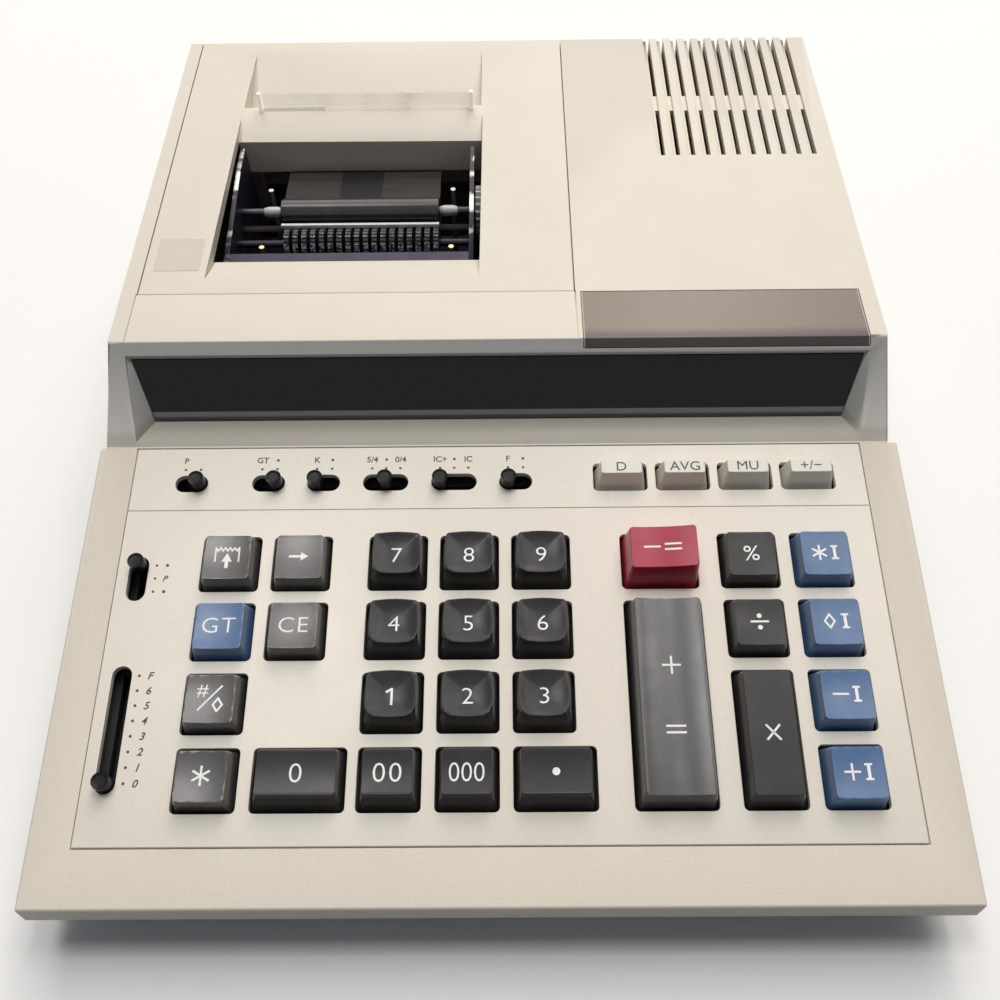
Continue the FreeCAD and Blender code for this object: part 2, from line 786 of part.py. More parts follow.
    # Bosses for the case screws, with their pilot holes
    for side in ("-", ""):
        x = "%sscrew_x" % side
        post(body, x, "front_screw_y", "boss_radius", "boss_meet",
             "lip_height + screw_front * tan(deck_slope) - deck_wall + 0.5")
        post(body, x, "rear_screw_y", "boss_radius", "boss_meet", "rear_boss_top")
        slab(body, [box("%s - boss_web / 2" % x, "%s + boss_web / 2" % x, "rear_screw_y",
                        "rear_y - wall / 2")], "skirt_height + tongue + part_gap", "rear_boss_top")
        for y in ("front_screw_y", "rear_screw_y"):
            drill(body, x, y, "screw_shank_radius + screw_clearance",
                  "boss_meet - 1", "foot_height + screw_length + 1")

    # Vents: shallow grooves with narrow slots, interrupted by a bridge, wrapping over the rear edge
    groove = cut_between(body, [top("vent_front", "-1"), top("vent_front", "vent_groove_depth"),
                                under_top("rear_y + 1", "vent_groove_depth"),
                                under_top("rear_y + 1", "-1")],
                         "vent_x", "vent_x + vent_groove")
    slot_left = "vent_x + vent_groove - vent_slot"
    slot_right = "vent_x + vent_groove"
    front_slot = cut_between(body, [top("vent_front", "-1"), top("vent_front", "wall + 1"),
                                    top("vent_bridge_front", "wall + 1"), top("vent_bridge_front", "-1")],
                             slot_left, slot_right)
    rear_slot = cut_between(body, [top("vent_bridge_rear", "-1"), top("vent_bridge_rear", "wall + 1"),
                                   under_top("rear_y - wall - 1", "wall + 1"),
                                   under_top("rear_y - wall - 1", "vent_wrap"),
                                   under_top("rear_y + 1", "vent_wrap"),
                                   under_top("rear_y + 1", "-1")], slot_left, slot_right)
    vents = body.newObject("PartDesign::LinearPattern", "Vents")
    vents.Originals = [groove, front_slot, rear_slot]
    vents.Direction = (origin_axis(body, "X_Axis"), [""])
    vents.setExpression("Length", bound("vent_pitch * (vent_count - 1)"))
    vents.setExpression("Occurrences", bound("vent_count"))
    body.Tip = vents
    keep("upper_case", body)


# Lower case: a shallow tub with sloping walls that closes the bottom

def make_lower_case():
    body = new_body("lower_case")

    def plan(sketch, inset):
        outline(sketch, box("-tub_width / 2 + %s" % inset, "tub_width / 2 - %s" % inset,
                            "tub_front + %s" % inset, "tub_rear - %s" % inset))

    bottom = new_sketch(body, "XY_Plane", "foot_height")
    plan(bottom, "tub_inset")
    brim = new_sketch(body, "XY_Plane", "skirt_height")
    plan(brim, "0")
    loft(body, "PartDesign::AdditiveLoft", bottom, brim)
    tongue = new_sketch(body, "XY_Plane", "skirt_height")
    plan(tongue, "0")
    pad(body, tongue, "tongue")
    low = new_sketch(body, "XY_Plane", "floor_z")
    plan(low, "(tub_inset + wall)")
    high = new_sketch(body, "XY_Plane", "skirt_height")
    plan(high, "wall")
    loft(body, "PartDesign::SubtractiveLoft", low, high)
    inside = new_sketch(body, "XY_Plane", "skirt_height")
    plan(inside, "wall")
    pocket(body, inside, "tongue + 1", upward=True)

    # Sleeves that meet the upper case's screw bosses
    for side in ("-", ""):
        x = "%sscrew_x" % side
        for y in ("front_screw_y", "rear_screw_y"):
            post(body, x, y, "boss_radius + screw_head_height", "foot_height", "boss_meet")
            drill(body, x, y, "screw_shank_radius + screw_clearance", "foot_height - 1", "boss_meet + 1")
            drill(body, x, y, "screw_head_radius + screw_clearance", "foot_height - 1",
                  "foot_height + screw_head_height + 0.2")
        for y in ("front_foot_y", "rear_foot_y"):
            drill(body, "%sfoot_x" % side, y, "foot_spigot_radius + screw_clearance",
                  "foot_height - 1", "floor_z + 1")

    # Pillars under the printer
    for x in ("printer_left + 6", "printer_right - 6"):
        for along in ("chassis_front + 6", "chassis_rear - 6"):
            post(body, x, top(along, "0")[0], "boss_radius", "floor_z - 0.5", "chassis_floor")

    # Raised pads under the transformer
    for x in ("transformer_x - core_width / 2 + 4", "transformer_x + core_width / 2 - 4"):
        post(body, x, "transformer_y", "boss_radius", "floor_z - 0.5", "floor_z + 2")
    keep("lower_case", body)


def make_rubber_feet():
    feet = []
    for side in ("-", ""):
        for y in ("front_foot_y", "rear_foot_y"):
            body = new_body("foot")
            x = "%sfoot_x" % side
            post(body, x, y, "foot_radius", "0", "foot_height")
            post(body, x, y, "foot_spigot_radius", "foot_height", "floor_z")
            feet.append(body)
    group(feet, "rubber_feet")


def make_case_screws():
    screws = []
    for side in ("-", ""):
        for y in ("front_screw_y", "rear_screw_y"):
            body = new_body("screw")
            x = "%sscrew_x" % side
            post(body, x, y, "screw_head_radius", "foot_height + 0.2",
                 "foot_height + 0.2 + screw_head_height")
            post(body, x, y, "screw_shank_radius", "foot_height + 0.2 + screw_head_height",
                 "foot_height + screw_length")
            screws.append(body)
    group(screws, "case_screws")


def group(items, label):
    """Like pieces that share one node, each still a solid of its own."""
    compound = doc.addObject("Part::Compound", label)
    compound.Links = items
    keep(label, compound)


# Keyboard panel: the plate with all key and switch openings, folded up slightly at the switch strip

def make_keyboard_panel():
    body = new_body("keyboard_panel")
    place(body, "0", "front_y", "lip_height", "deck_slope")
    slab(body, [box("-panel_width / 2", "panel_width / 2", "panel_front", "panel_rear")],
         "panel_bottom", "panel_top")
    cut_slab(body, [box("-panel_width / 2 - 1", "panel_width / 2 + 1", "panel_crease - crease_width / 2",
                        "panel_crease + crease_width / 2")], "panel_top - crease_depth", "panel_top + 1")
    holes = [box_at(x, along, width, depth)
             for name, x, along, width, depth, height, top_shape, stems in KEYS]
    slots = []
    for name, x, along, sideways, pace, steps, start in SWITCHES:
        run = "knob_diameter + 2 * slot_end_gap + %d * %s" % (steps, pace)
        size = (run, "slot_width") if sideways else ("slot_width", run)
        slots.append(box_at(x, along, *size))
    for some in batches(holes + slots):
        cut_slab(body, some, "panel_bottom - 1", "panel_top + 1")
    keep("keyboard_panel", body)


# One key: tapered cap with a dished top, hollow below, on a square stem with a foot that stops it

def make_key(name, x, along, width, depth, height, top_shape, stems):
    body = new_body(name)
    y, z = deck(along, "0")
    place(body, x, y, z, "deck_slope")
    cap = slab(body, [box_at("0", "0", "(%s) - 2 * key_gap" % width, "(%s) - 2 * key_gap" % depth)],
               "-key_skirt", height)
    cap.TaperAngle = -value("atan(key_taper / (%s + key_skirt)) / 1deg" % height)
    cap.setExpression("TaperAngle", bound("-atan(key_taper / (%s + key_skirt)) / 1deg" % height))
    doc.recompute([cap])
    corners = ["Edge%d" % number for number, edge in enumerate(cap.Shape.Edges, start=1)
               if abs(edge.BoundBox.ZLength) > value("key_skirt")]
    rounded = body.newObject("PartDesign::Fillet", "Corners")
    rounded.Base = (cap, corners)
    rounded.setExpression("Radius", bound("key_corner"))

    # The top is a shallow bowl, a scoop that runs front to back, or flat
    centre = "%s - dish_depth + dish_radius" % height
    if top_shape == "bowl":
        bowl = body.newObject("PartDesign::SubtractiveSphere", "Bowl")
        bowl.AttachmentSupport = [(origin_axis(body, "XY_Plane"), "")]
        bowl.MapMode = "FlatFace"
        bowl.setExpression("Radius", bound("dish_radius"))
        bowl.setExpression("AttachmentOffset.Base.z", bound(centre))
    if top_shape == "scoop":
        sketch = new_sketch(body, "XZ_Plane")
        disc(sketch, "0", centre, "dish_radius")
        pocket(body, sketch, "2 * (%s)" % depth, symmetric=True)

    # Hollow below, unless the cap is too narrow, then the stems with their stops
    roof = "(%s - key_roof)" % height
    inset = "2 * (key_gap + key_taper + key_wall)"
    if value("%s - %s" % (depth, inset)) > value("stem_size + key_wall"):
        cut_slab(body, [box_at("0", "0", "(%s) - %s" % (width, inset), "(%s) - %s" % (depth, inset))],
                 "-key_skirt - 1", roof)
    stem_bottom = "(sleeve_bottom - stop_gap)"
    slab(body, [box_at(dx, dy, "stem_size", "stem_size") for dx, dy in stems], stem_bottom, roof)
    slab(body, [box_at(dx, dy, "stem_size + 2 * stem_foot_overhang", "stem_size") for dx, dy in stems],
         "%s - stem_foot" % stem_bottom, stem_bottom)
    keep(name, body)


# Slide switch knob: a round button on a flat shank

def make_slide(name, x, along, sideways, pace, steps, start):
    body = new_body(name)
    shift = "(%s - %s / 2) * %s" % (start, steps, pace)
    y, z = deck(along if sideways else "%s + %s" % (along, shift), "0")
    place(body, "%s + %s" % (x, shift) if sideways else x, y, z, "deck_slope")
    post(body, "0", "0", "knob_diameter / 2", "-knob_skirt", "knob_height")
    size = ("shank_length", "shank_width") if sideways else ("shank_width", "shank_length")
    slab(body, [box_at("0", "0", *size)], "-board_drop + switch_floor + switch_clearance", "-knob_skirt")
    keep(name, body)


# Key frame: the plate under the deck with a sleeve round each stem

def make_key_frame():
    body = new_body("key_frame")
    place(body, "0", "front_y", "lip_height", "deck_slope")
    slab(body, [box("-frame_width / 2", "frame_width / 2", "frame_front", "frame_rear")],
         "frame_bottom", "-frame_drop")
    outer = "(stem_size + 2 * stem_clearance + 2 * sleeve_wall)"
    inner = "(stem_size + 2 * stem_clearance)"
    sleeves, bores = [], []
    for name, x, along, width, depth, height, top_shape, stems in KEYS:
        for dx, dy in stems:
            where = ("%s + (%s)" % (x, dx), "%s + (%s)" % (along, dy))
            sleeves.append(box_at(*where, outer, outer))
            bores.append(box_at(*where, inner, inner))
    for some in batches(sleeves):
        slab(body, some, "sleeve_bottom", "frame_bottom")
    for some in batches(bores):
        cut_slab(body, some, "sleeve_bottom - 1", "-frame_drop + 1")
    slots = []
    for name, x, along, sideways, pace, steps, start in SWITCHES:
        run = "%d * %s + shank_length + 2 * switch_clearance + 1" % (steps, pace)
        across_slot = "shank_width + 2 * switch_clearance + 1"
        size = (run, across_slot) if sideways else (across_slot, run)
        slots.append(box_at(x, along, *size))
    cut_slab(body, slots, "frame_bottom - 1", "-frame_drop + 1")

    # Posts that the circuit board is screwed to
    sketch = new_sketch(body, "XY_Plane", "-board_drop")
    for x in ("-post_outer_x", "-post_inner_x", "post_inner_x", "post_outer_x"):
        for along in ("board_front + 3", "board_rear - 3"):
            disc(sketch, x, along, "board_post_radius")
    pad(body, sketch, "board_drop + frame_bottom")
    keep("key_frame", body)


# Keyboard circuit board with the bodies of the slide switches standing on it

def make_circuit_board():
    board = new_body("board")
    place(board, "0", "front_y", "lip_height", "deck_slope")
    slab(board, [box("-board_width / 2", "board_width / 2", "board_front", "board_rear")],
         "-board_drop - board_thickness", "-board_drop")
    pieces = [board]
    for name, x, along, sideways, pace, steps, start in SWITCHES:
        body = new_body("switch")
        y, z = deck(along, "-board_drop")
        place(body, x, y, z, "deck_slope")
        run = "%d * %s + shank_length + 2 * switch_clearance" % (steps, pace)
        gap = "shank_width + 2 * switch_clearance"
        outer = ("%s + 2 * switch_wall" % run, "%s + 2 * switch_wall" % gap)
        slot = (run, gap)
        if not sideways:
            outer, slot = outer[::-1], slot[::-1]
        slab(body, [box_at("0", "0", *outer)], "0", "switch_height")
        cut_slab(body, [box_at("0", "0", *slot)], "switch_floor", "switch_height + 1")
        pieces.append(body)
    group(pieces, "circuit_board")


# Display: dark window, and the tube on its board behind it

def make_display_window():
    body = new_body("display_window")
    sketch = tilted_sketch(body, ("ledge_y", "ledge_z"), "window_slope")
    outline(sketch, [("-window_foot_width / 2 + window_gap", "window_gap"),
                     ("window_foot_width / 2 - window_gap", "window_gap"),
                     ("window_head_width / 2 - window_gap", "window_height - window_gap"),
                     ("-window_head_width / 2 + window_gap", "window_height - window_gap")])
    pad(body, sketch, "window_thickness", downward=True)
    keep("display_window", body)


def make_display_tube():
    tube = new_body("tube")
    middle = "window_height / 2"
    across(tube, [window("%s - tube_height / 2" % middle, "tube_drop"),
                  window("%s + tube_height / 2" % middle, "tube_drop"),
                  window("%s + tube_height / 2" % middle, "tube_drop + tube_thickness"),
                  window("%s - tube_height / 2" % middle, "tube_drop + tube_thickness")], "tube_width")
    board = new_body("display_board")
    rear = "display_board_drop + board_thickness"
    across(board, [window("0", "display_board_drop"), window("window_height - 2", "display_board_drop"),
                   window("window_height - 2", rear), window("0", rear)], "display_board_width")
    group([tube, board], "display_tube")


def make_name_plate():
    body = new_body("name_plate")
    between(body, [top("plate_depth - plate_gap", "0"), top("0", "0"),
                   face("face_length - plate_fold + plate_gap", "0"),
                   face("face_length - plate_fold + plate_gap", "plate_thickness"),
                   top("plate_corner", "plate_thickness"),
                   top("plate_depth - plate_gap", "plate_thickness")],
            "plate_left + plate_gap", "plate_right - plate_gap")
    keep("name_plate", body)


# Printer cover: top plate with the well, the ridge, the paper ramp behind it and a pivoting rear flap

def make_printer_cover():
    body = new_body("printer_cover")
    left, right = "cover_left + cover_gap", "cover_right - cover_gap"
    between(body, [top("cover_front + cover_gap", "0"), under_top("rear_y", "0"),
                   under_top("rear_y", "cover_wall"), top("cover_front + cover_gap", "cover_wall")],
            left, right)

    # Rim round the well, then the block that the ridge and ramp are hollowed from
    between(body, [top("well_bevel_front", "cover_wall - 0.5"), top("well_bevel_front", "well_rim"),
                   top("ridge_front", "well_rim"), top("ridge_front", "cover_wall - 0.5")],
            "well_left - well_rim_wall", "well_right + well_rim_wall")
    cut_between(body, [top("well_front", "-1"), top("well_front", "well_rim + 1"),
                       top("ridge_front", "well_rim + 1"), top("ridge_front", "-1")],
                "well_left", "well_right")
    cut_between(body, [top("well_bevel_front", "-1"), top("well_bevel_front", "0"),
                       top("well_front", "well_rim"), top("well_front + 1", "well_rim"),
                       top("well_front + 1", "-1")], "well_left", "well_right")
    between(body, [top("ridge_front", "0"), top("ridge_nose", "ridge_nose_drop"),
                   top("ridge_lip", "ridge_lip_drop"),
                   top("ridge_lip + cover_wall", "ridge_lip_drop + 1.5"),
                   top("trough_front - cover_wall", "trough_drop + cover_wall"),
                   top("trough_floor_rear + cover_wall / 2", "trough_drop + cover_wall"),
                   top("ramp_rear + 2", "cover_wall + 0.5"), top("ramp_rear + 2", "0")],
            "well_left", "well_right")
    cut_between(body, [top("ridge_rear", "0"), top("trough_front", "trough_drop"),
                       top("trough_floor_rear", "trough_drop"), top("ramp_rear", "0"),
                       top("ramp_rear", "-1"), top("ridge_rear", "-1")], "trough_left", "trough_right")
    cut_between(body, [top("ridge_front + 1", "cover_wall"),
                       top("ridge_nose + cover_wall", "ridge_nose_drop + 2"),
                       top("ridge_lip + 3", "ridge_lip_drop + 3"),
                       top("trough_front - cover_wall", "ridge_lip_drop + 4"),
                       top("trough_front - cover_wall", "trough_drop"),
                       top("ridge_rear - cover_wall + 0.5", "cover_wall")],
                "well_left + trough_wall", "well_right - trough_wall")

    # Flap down the rear, with a pivot pin at each end
    between(body, [under_top("rear_y - cover_wall", "cover_wall / 2"),
                   under_top("rear_y", "cover_wall / 2"),
                   ("rear_y", "hinge_height - hinge_knuckle"),
                   ("rear_y - cover_wall", "hinge_height - hinge_knuckle")], left, right)
    reach = "ear_thickness"
    for first, second in (("%s - %s" % (left, reach), "%s + 4" % left),
                          ("%s - 4" % right, "%s + %s" % (right, reach))):
        rod(body, "hinge_y", "hinge_height", "hinge_pin_radius", first, second)
    for first, second in ((left, "%s + 4" % left), ("%s - 4" % right, right)):
        rod(body, "hinge_y", "hinge_height", "hinge_knuckle", first, second)
    keep("printer_cover", body)


def make_tear_bar():
    body = new_body("tear_bar")
    between(body, [top("blade_start", "0"), top("blade_start + blade_foot", "0"),
                   top("blade_start + blade_foot", "-blade_thickness"),
                   top("blade_start + blade_thickness + 0.5", "-blade_thickness"),
                   top("blade_start + blade_lean + blade_thickness", "-blade_height"),
                   top("blade_start + blade_lean", "-blade_height")],
            "blade_left", "blade_right")
    keep("tear_bar", body)


# Printer chassis: two side plates on a floor, a front crossbar and the motor's bracket

def make_printer_frame():
    body = new_body("printer_frame")
    floor = [(top("chassis_front", "0")[0], "chassis_floor"), (top("chassis_rear", "0")[0], "chassis_floor"),
             (top("chassis_rear", "0")[0], "chassis_floor + chassis_wall"),
             (top("chassis_front", "0")[0], "chassis_floor + chassis_wall")]
    between(body, floor, "printer_left", "bracket_x + chassis_wall")
    side = [(top("chassis_front", "0")[0], "chassis_floor"), (top("chassis_rear", "0")[0], "chassis_floor"),
            top("chassis_rear", "ridge_lip_drop + 4"), top("chassis_rear - 1", "ridge_lip_drop"),
            top("chassis_rear - 1.4", "chassis_rear_drop"),
            top("chassis_rear - 12", "chassis_rear_drop"), top("chassis_front", "chassis_front_drop")]
    for left, right in (("printer_left", "printer_left + chassis_wall"),
                        ("printer_right - chassis_wall", "printer_right")):
        between(body, side, left, right)
    between(body, [top("chassis_front", "crossbar_drop + 2.4"), top("chassis_front", "crossbar_drop + 14"),
                   top("chassis_front + chassis_wall", "crossbar_drop + 14"),
                   top("chassis_front + chassis_wall", "crossbar_drop + 3.9"),
                   top("crossbar_rear", "crossbar_drop + 3.9"), top("crossbar_rear", "crossbar_drop + 2.4")],
            "printer_left + 0.5", "printer_right - 0.5")
    hole = "motor_radius - 1"
    between(body, [("pinion_y - %s" % hole, "chassis_floor"), ("pinion_y + %s" % hole, "chassis_floor"),
                   ("pinion_y + %s" % hole, "pinion_z + %s" % hole),
                   ("pinion_y - %s" % hole, "pinion_z + %s" % hole)], "bracket_x", "bracket_x + chassis_wall")

    # Bearing holes
    fit = "shaft_radius + shaft_clearance"
    bore(body, "platen_y", "platen_z", fit, "printer_left - 1", "printer_right + 1")
    bore(body, "wheel_y", "wheel_z", fit, "printer_left - 1", "printer_right + 1")
    bore(body, "pinion_y", "pinion_z", "motor_shaft_radius + shaft_clearance", "bracket_x - 1",
         "bracket_x + chassis_wall + 1")
    keep("printer_frame", body)


def teeth(body, count, left):
    """A ring of gear teeth about the body's X axis, on top of a hub that is already there."""
    root = "gear_module * %s / 2 - 1.2 * gear_module" % count
    pitch = "gear_module * %s / 2" % count
    tip = "gear_module * %s / 2 + 0.9 * gear_module" % count
    tooth = between(body, [("%s - 0.2" % root, "-0.95 * gear_module"), (pitch, "-0.68 * gear_module"),
                           (tip, "-0.3 * gear_module"), (tip, "0.3 * gear_module"),
                           (pitch, "0.68 * gear_module"), ("%s - 0.2" % root, "0.95 * gear_module")],
                    left, "%s + gear_width" % left)
    ring = body.newObject("PartDesign::PolarPattern", "Teeth")
    ring.Originals = [tooth]
    ring.Axis = (origin_axis(body, "X_Axis"), [""])
    ring.Angle = 360
    ring.setExpression("Occurrences", bound(count))
    body.Tip = ring


# Platen: rubber roller, steel shaft with collars, and the feed gear outside the right side plate

def make_platen():
    body = new_body("platen_roller")
    place(body, "0", "platen_y", "platen_z", "mesh_angle")
    rod(body, "0", "0", "shaft_radius", "printer_left - 0.5", "gear_left + gear_width + 0.5")
    rod(body, "0", "0", "platen_radius", "platen_left", "platen_right")
    rod(body, "0", "0", "collar_radius", "platen_left - collar_length", "platen_left")
    rod(body, "0", "0", "collar_radius", "platen_right", "platen_right + collar_length")
    hub = "gear_module * platen_teeth / 2 - 1.2 * gear_module"
    rod(body, "0", "0", hub, "gear_left", "gear_left + gear_width")
    teeth(body, "platen_teeth", "gear_left")
    keep("platen_roller", body)


# Motor pinion: meshes with the feed gear, so a gap of its own faces a tooth of the gear's

def make_motor_pinion():
    body = new_body("motor_pinion")
    place(body, "0", "pinion_y", "pinion_z", "mesh_angle + 180 + 180 / pinion_teeth")
    rod(body, "0", "0", "motor_shaft_radius", "gear_left", "bracket_x + chassis_wall + 4")
    hub = "gear_module * pinion_teeth / 2 - 1.2 * gear_module"
    rod(body, "0", "0", hub, "gear_left", "gear_left + gear_width")
    teeth(body, "pinion_teeth", "gear_left")
    keep("motor_pinion", body)


def make_printer_motor():
    body = new_body("printer_motor")
    start = "bracket_x + chassis_wall"
    rod(body, "pinion_y", "pinion_z", "motor_radius", start, "%s + motor_length" % start)
    rod(body, "pinion_y", "pinion_z", "motor_radius / 3", "%s + motor_length" % start,
        "%s + motor_length + 1.5" % start)
    bore(body, "pinion_y", "pinion_z", "motor_shaft_radius + shaft_clearance", "%s - 1" % start,
         "%s + 6" % start)
    keep("printer_motor", body)


# Type wheels: a row of print wheels on one shaft

def make_type_wheels():
    body = new_body("type_wheels")
    place(body, "0", "wheel_y", "wheel_z")
    rod(body, "0", "0", "shaft_radius", "printer_left - 0.5", "printer_right + 0.2")
    wheel = rod(body, "0", "0", "wheel_radius", "wheel_left", "wheel_left + wheel_width")
    row_of_wheels = body.newObject("PartDesign::LinearPattern", "Wheels")
    row_of_wheels.Originals = [wheel]
    row_of_wheels.Direction = (origin_axis(body, "X_Axis"), [""])
    row_of_wheels.setExpression("Length", bound("wheel_pitch * (wheel_count - 1)"))
    row_of_wheels.setExpression("Occurrences", bound("wheel_count"))
    body.Tip = row_of_wheels
    keep("type_wheels", body)


# Paper guide: a thin channel that leads the paper under the platen to a light bar in front of it

def make_paper_guide():
    body = new_body("paper_guide")
    inner = "platen_radius + guide_gap"
    outer = "platen_radius + guide_gap + guide_thickness"
    angles = (-20, -55, -90, -125, -160)

    def round_platen(radius, angle):
        return ("platen_y + (%s) * cos(%d)" % (radius, angle), "platen_z + (%s) * sin(%d)" % (radius, angle))

    path = [top("guide_rear", "guide_rear_drop"), round_platen(inner, 5)]
    path += [round_platen(inner, angle) for angle in angles]
    path += [round_platen(outer, angle) for angle in reversed(angles)]
    path += [round_platen("%s + 0.3" % outer, 0), top("guide_rear", "guide_rear_drop + guide_thickness")]
    between(body, path, "platen_left", "platen_right")

    # Tabs that hold it to the side plates, low down behind the platen
    tab = [round_platen(inner, -90), round_platen(inner, -125), round_platen(outer, -125),
           round_platen(outer, -90)]
    between(body, tab, "printer_left + chassis_wall", "printer_right - chassis_wall")
    keep("paper_guide", body)


# Transformer: laminated core with the winding round its middle leg

def make_transformer():
    core = new_body("core")
    base = "(floor_z + 2)"
    front, back = "transformer_y - core_thickness / 2", "transformer_y + core_thickness / 2"
    left, right = "(transformer_x - core_width / 2)", "(transformer_x + core_width / 2)"
    block(core, [box(left, right, base, "%s + core_height" % base)], front, back)
    low, high = "%s + core_leg" % base, "%s + core_height - core_leg" % base
    cut_block(core, [box("%s + core_leg" % left, "transformer_x - core_leg", low, high),
                     box("transformer_x + core_leg", "%s - core_leg" % right, low, high)],
              "%s - 1" % front, "%s + 1" % back)
    coil = new_body("coil")
    low, high = "%s + coil_gap" % low, "%s - coil_gap" % high
    slab(coil, [box("%s + core_leg + coil_gap" % left, "%s - core_leg - coil_gap" % right,
                    "%s - coil_overhang" % front, "%s + coil_overhang" % back)], low, high)
    cut_slab(coil, [box("transformer_x - core_leg - coil_gap", "transformer_x + core_leg + coil_gap",
                        "%s - coil_gap" % front, "%s + coil_gap" % back)], "%s - 1" % low, "%s + 1" % high)
    group([core, coil], "transformer")


# Mains inlet: a moulded socket with two pins, clipped into the rear wall

def make_power_inlet():
    body = new_body("power_inlet")
    inner = "rear_y - inlet_depth"
    block(body, [box_at("inlet_x", "inlet_height", "inlet_width", "inlet_tall")], inner, "rear_y")
    block(body, [box_at("inlet_x", "inlet_height", "inlet_width + 2 * inlet_flange",
                        "inlet_tall + 2 * inlet_flange")], "rear_y - wall - inlet_flange", "rear_y - wall")
    cut_block(body, [box_at("inlet_x", "inlet_height", "inlet_mouth_width", "inlet_mouth_height")],
              "rear_y - inlet_mouth_depth", "rear_y + 1")
    for side in ("-", "+"):
        sketch = new_sketch(body, "XZ_Plane", "-(%s) - 1" % inner)
        disc(sketch, "inlet_x %s inlet_pin_spacing / 2" % side, "inlet_height", "inlet_pin_radius")
        pad(body, sketch, "inlet_depth - 2.5", downward=True)
    keep("power_inlet", body)


def check_and_export():
    doc.recompute()
    troubled = [item.Label for item in doc.Objects
                if "Invalid" in item.State or "Error" in item.State]
    if troubled:
        raise SystemExit("features that failed: " + ", ".join(troubled))
    os.makedirs("parts", exist_ok=True)
    for label, item in NODES.items():
        shape = item.Shape
        if shape.isNull() or not shape.isValid():
            raise SystemExit("shape is not valid: " + label)
    for label, item in NODES.items():
        item.Shape.exportStep("parts/%s.step" % label)
        print("%-22s solids %2d  volume %10.1f" % (label, len(item.Shape.Solids), item.Shape.Volume))
    print(len(NODES), "nodes")


make_upper_case()
make_lower_case()
make_rubber_feet()
make_case_screws()
make_keyboard_panel()
for key in KEYS:
    make_key(*key)
for switch in SWITCHES:
    make_slide(*switch)
make_key_frame()
make_circuit_board()
make_display_window()
make_display_tube()
make_name_plate()
make_printer_cover()
make_tear_bar()
make_printer_frame()
make_platen()
make_motor_pinion()
make_printer_motor()
make_type_wheels()
make_paper_guide()
make_transformer()
make_power_inlet()
check_and_export()
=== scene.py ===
import math

import bmesh
import bpy
from mathutils import Matrix, Vector


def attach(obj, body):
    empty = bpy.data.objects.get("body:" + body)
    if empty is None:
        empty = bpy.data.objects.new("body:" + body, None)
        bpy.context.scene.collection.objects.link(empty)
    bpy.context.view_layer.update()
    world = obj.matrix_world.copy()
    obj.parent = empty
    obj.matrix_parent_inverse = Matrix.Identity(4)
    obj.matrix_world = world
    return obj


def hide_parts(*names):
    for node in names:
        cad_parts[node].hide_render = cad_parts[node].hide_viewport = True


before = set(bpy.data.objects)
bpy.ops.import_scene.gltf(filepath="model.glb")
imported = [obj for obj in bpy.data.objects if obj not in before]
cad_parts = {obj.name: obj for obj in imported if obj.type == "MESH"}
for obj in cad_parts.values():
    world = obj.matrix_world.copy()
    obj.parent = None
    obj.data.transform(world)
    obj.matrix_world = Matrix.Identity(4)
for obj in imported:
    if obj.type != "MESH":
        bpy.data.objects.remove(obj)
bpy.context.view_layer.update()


# Camera
# The machine was photographed by hand, standing over its front edge and looking down the keyboard.
# The camera's place and tilt were solved from the grid of keys and the corners of the case.

mm = 0.001
deck_slope = math.radians(11)

bpy.ops.object.camera_add(location=(2.57 * mm, -217.27 * mm, 274.12 * mm))
camera = bpy.context.object
camera.name = "camera"
roll = Matrix.Rotation(math.radians(0.453), 3, "Z")
pan = Matrix.Rotation(math.radians(-0.390), 3, "Y")
tilt = Matrix.Rotation(math.radians(-26.675), 3, "X")
looking = Matrix.Rotation(deck_slope, 3, "X") @ (roll @ pan @ tilt).transposed()
camera.rotation_euler = looking.to_euler()
camera.data.sensor_width = 36
camera.data.lens = 38.34
camera.data.clip_start = 0.01
bpy.context.scene.camera = camera
bpy.context.scene.view_settings.view_transform = "Standard"


# Upper case
# One injection moulding in warm off-white plastic, with the keyboard deck in front, the display recess
# behind it and the housing over the printer. Its outer edges are softened as the mould's are.

class Socket:
    """An output of a shader node that can be used in a sum."""

    def __init__(self, finish, link):
        self.finish = finish
        self.link = link

    def maths(self, operation, first, second):
        return self.finish.node("ShaderNodeMath", {"operation": operation}, {0: first, 1: second})

    def __add__(self, other):
        return self.maths("ADD", self, other)

    __radd__ = __add__

    def __mul__(self, other):
        return self.maths("MULTIPLY", self, other)

    __rmul__ = __mul__

    def __sub__(self, other):
        return self.maths("SUBTRACT", self, other)

    def __rsub__(self, other):
        return self.maths("SUBTRACT", other, self)

    def __gt__(self, other):
        return self.maths("GREATER_THAN", self, other)

    def __lt__(self, other):
        return self.maths("LESS_THAN", self, other)


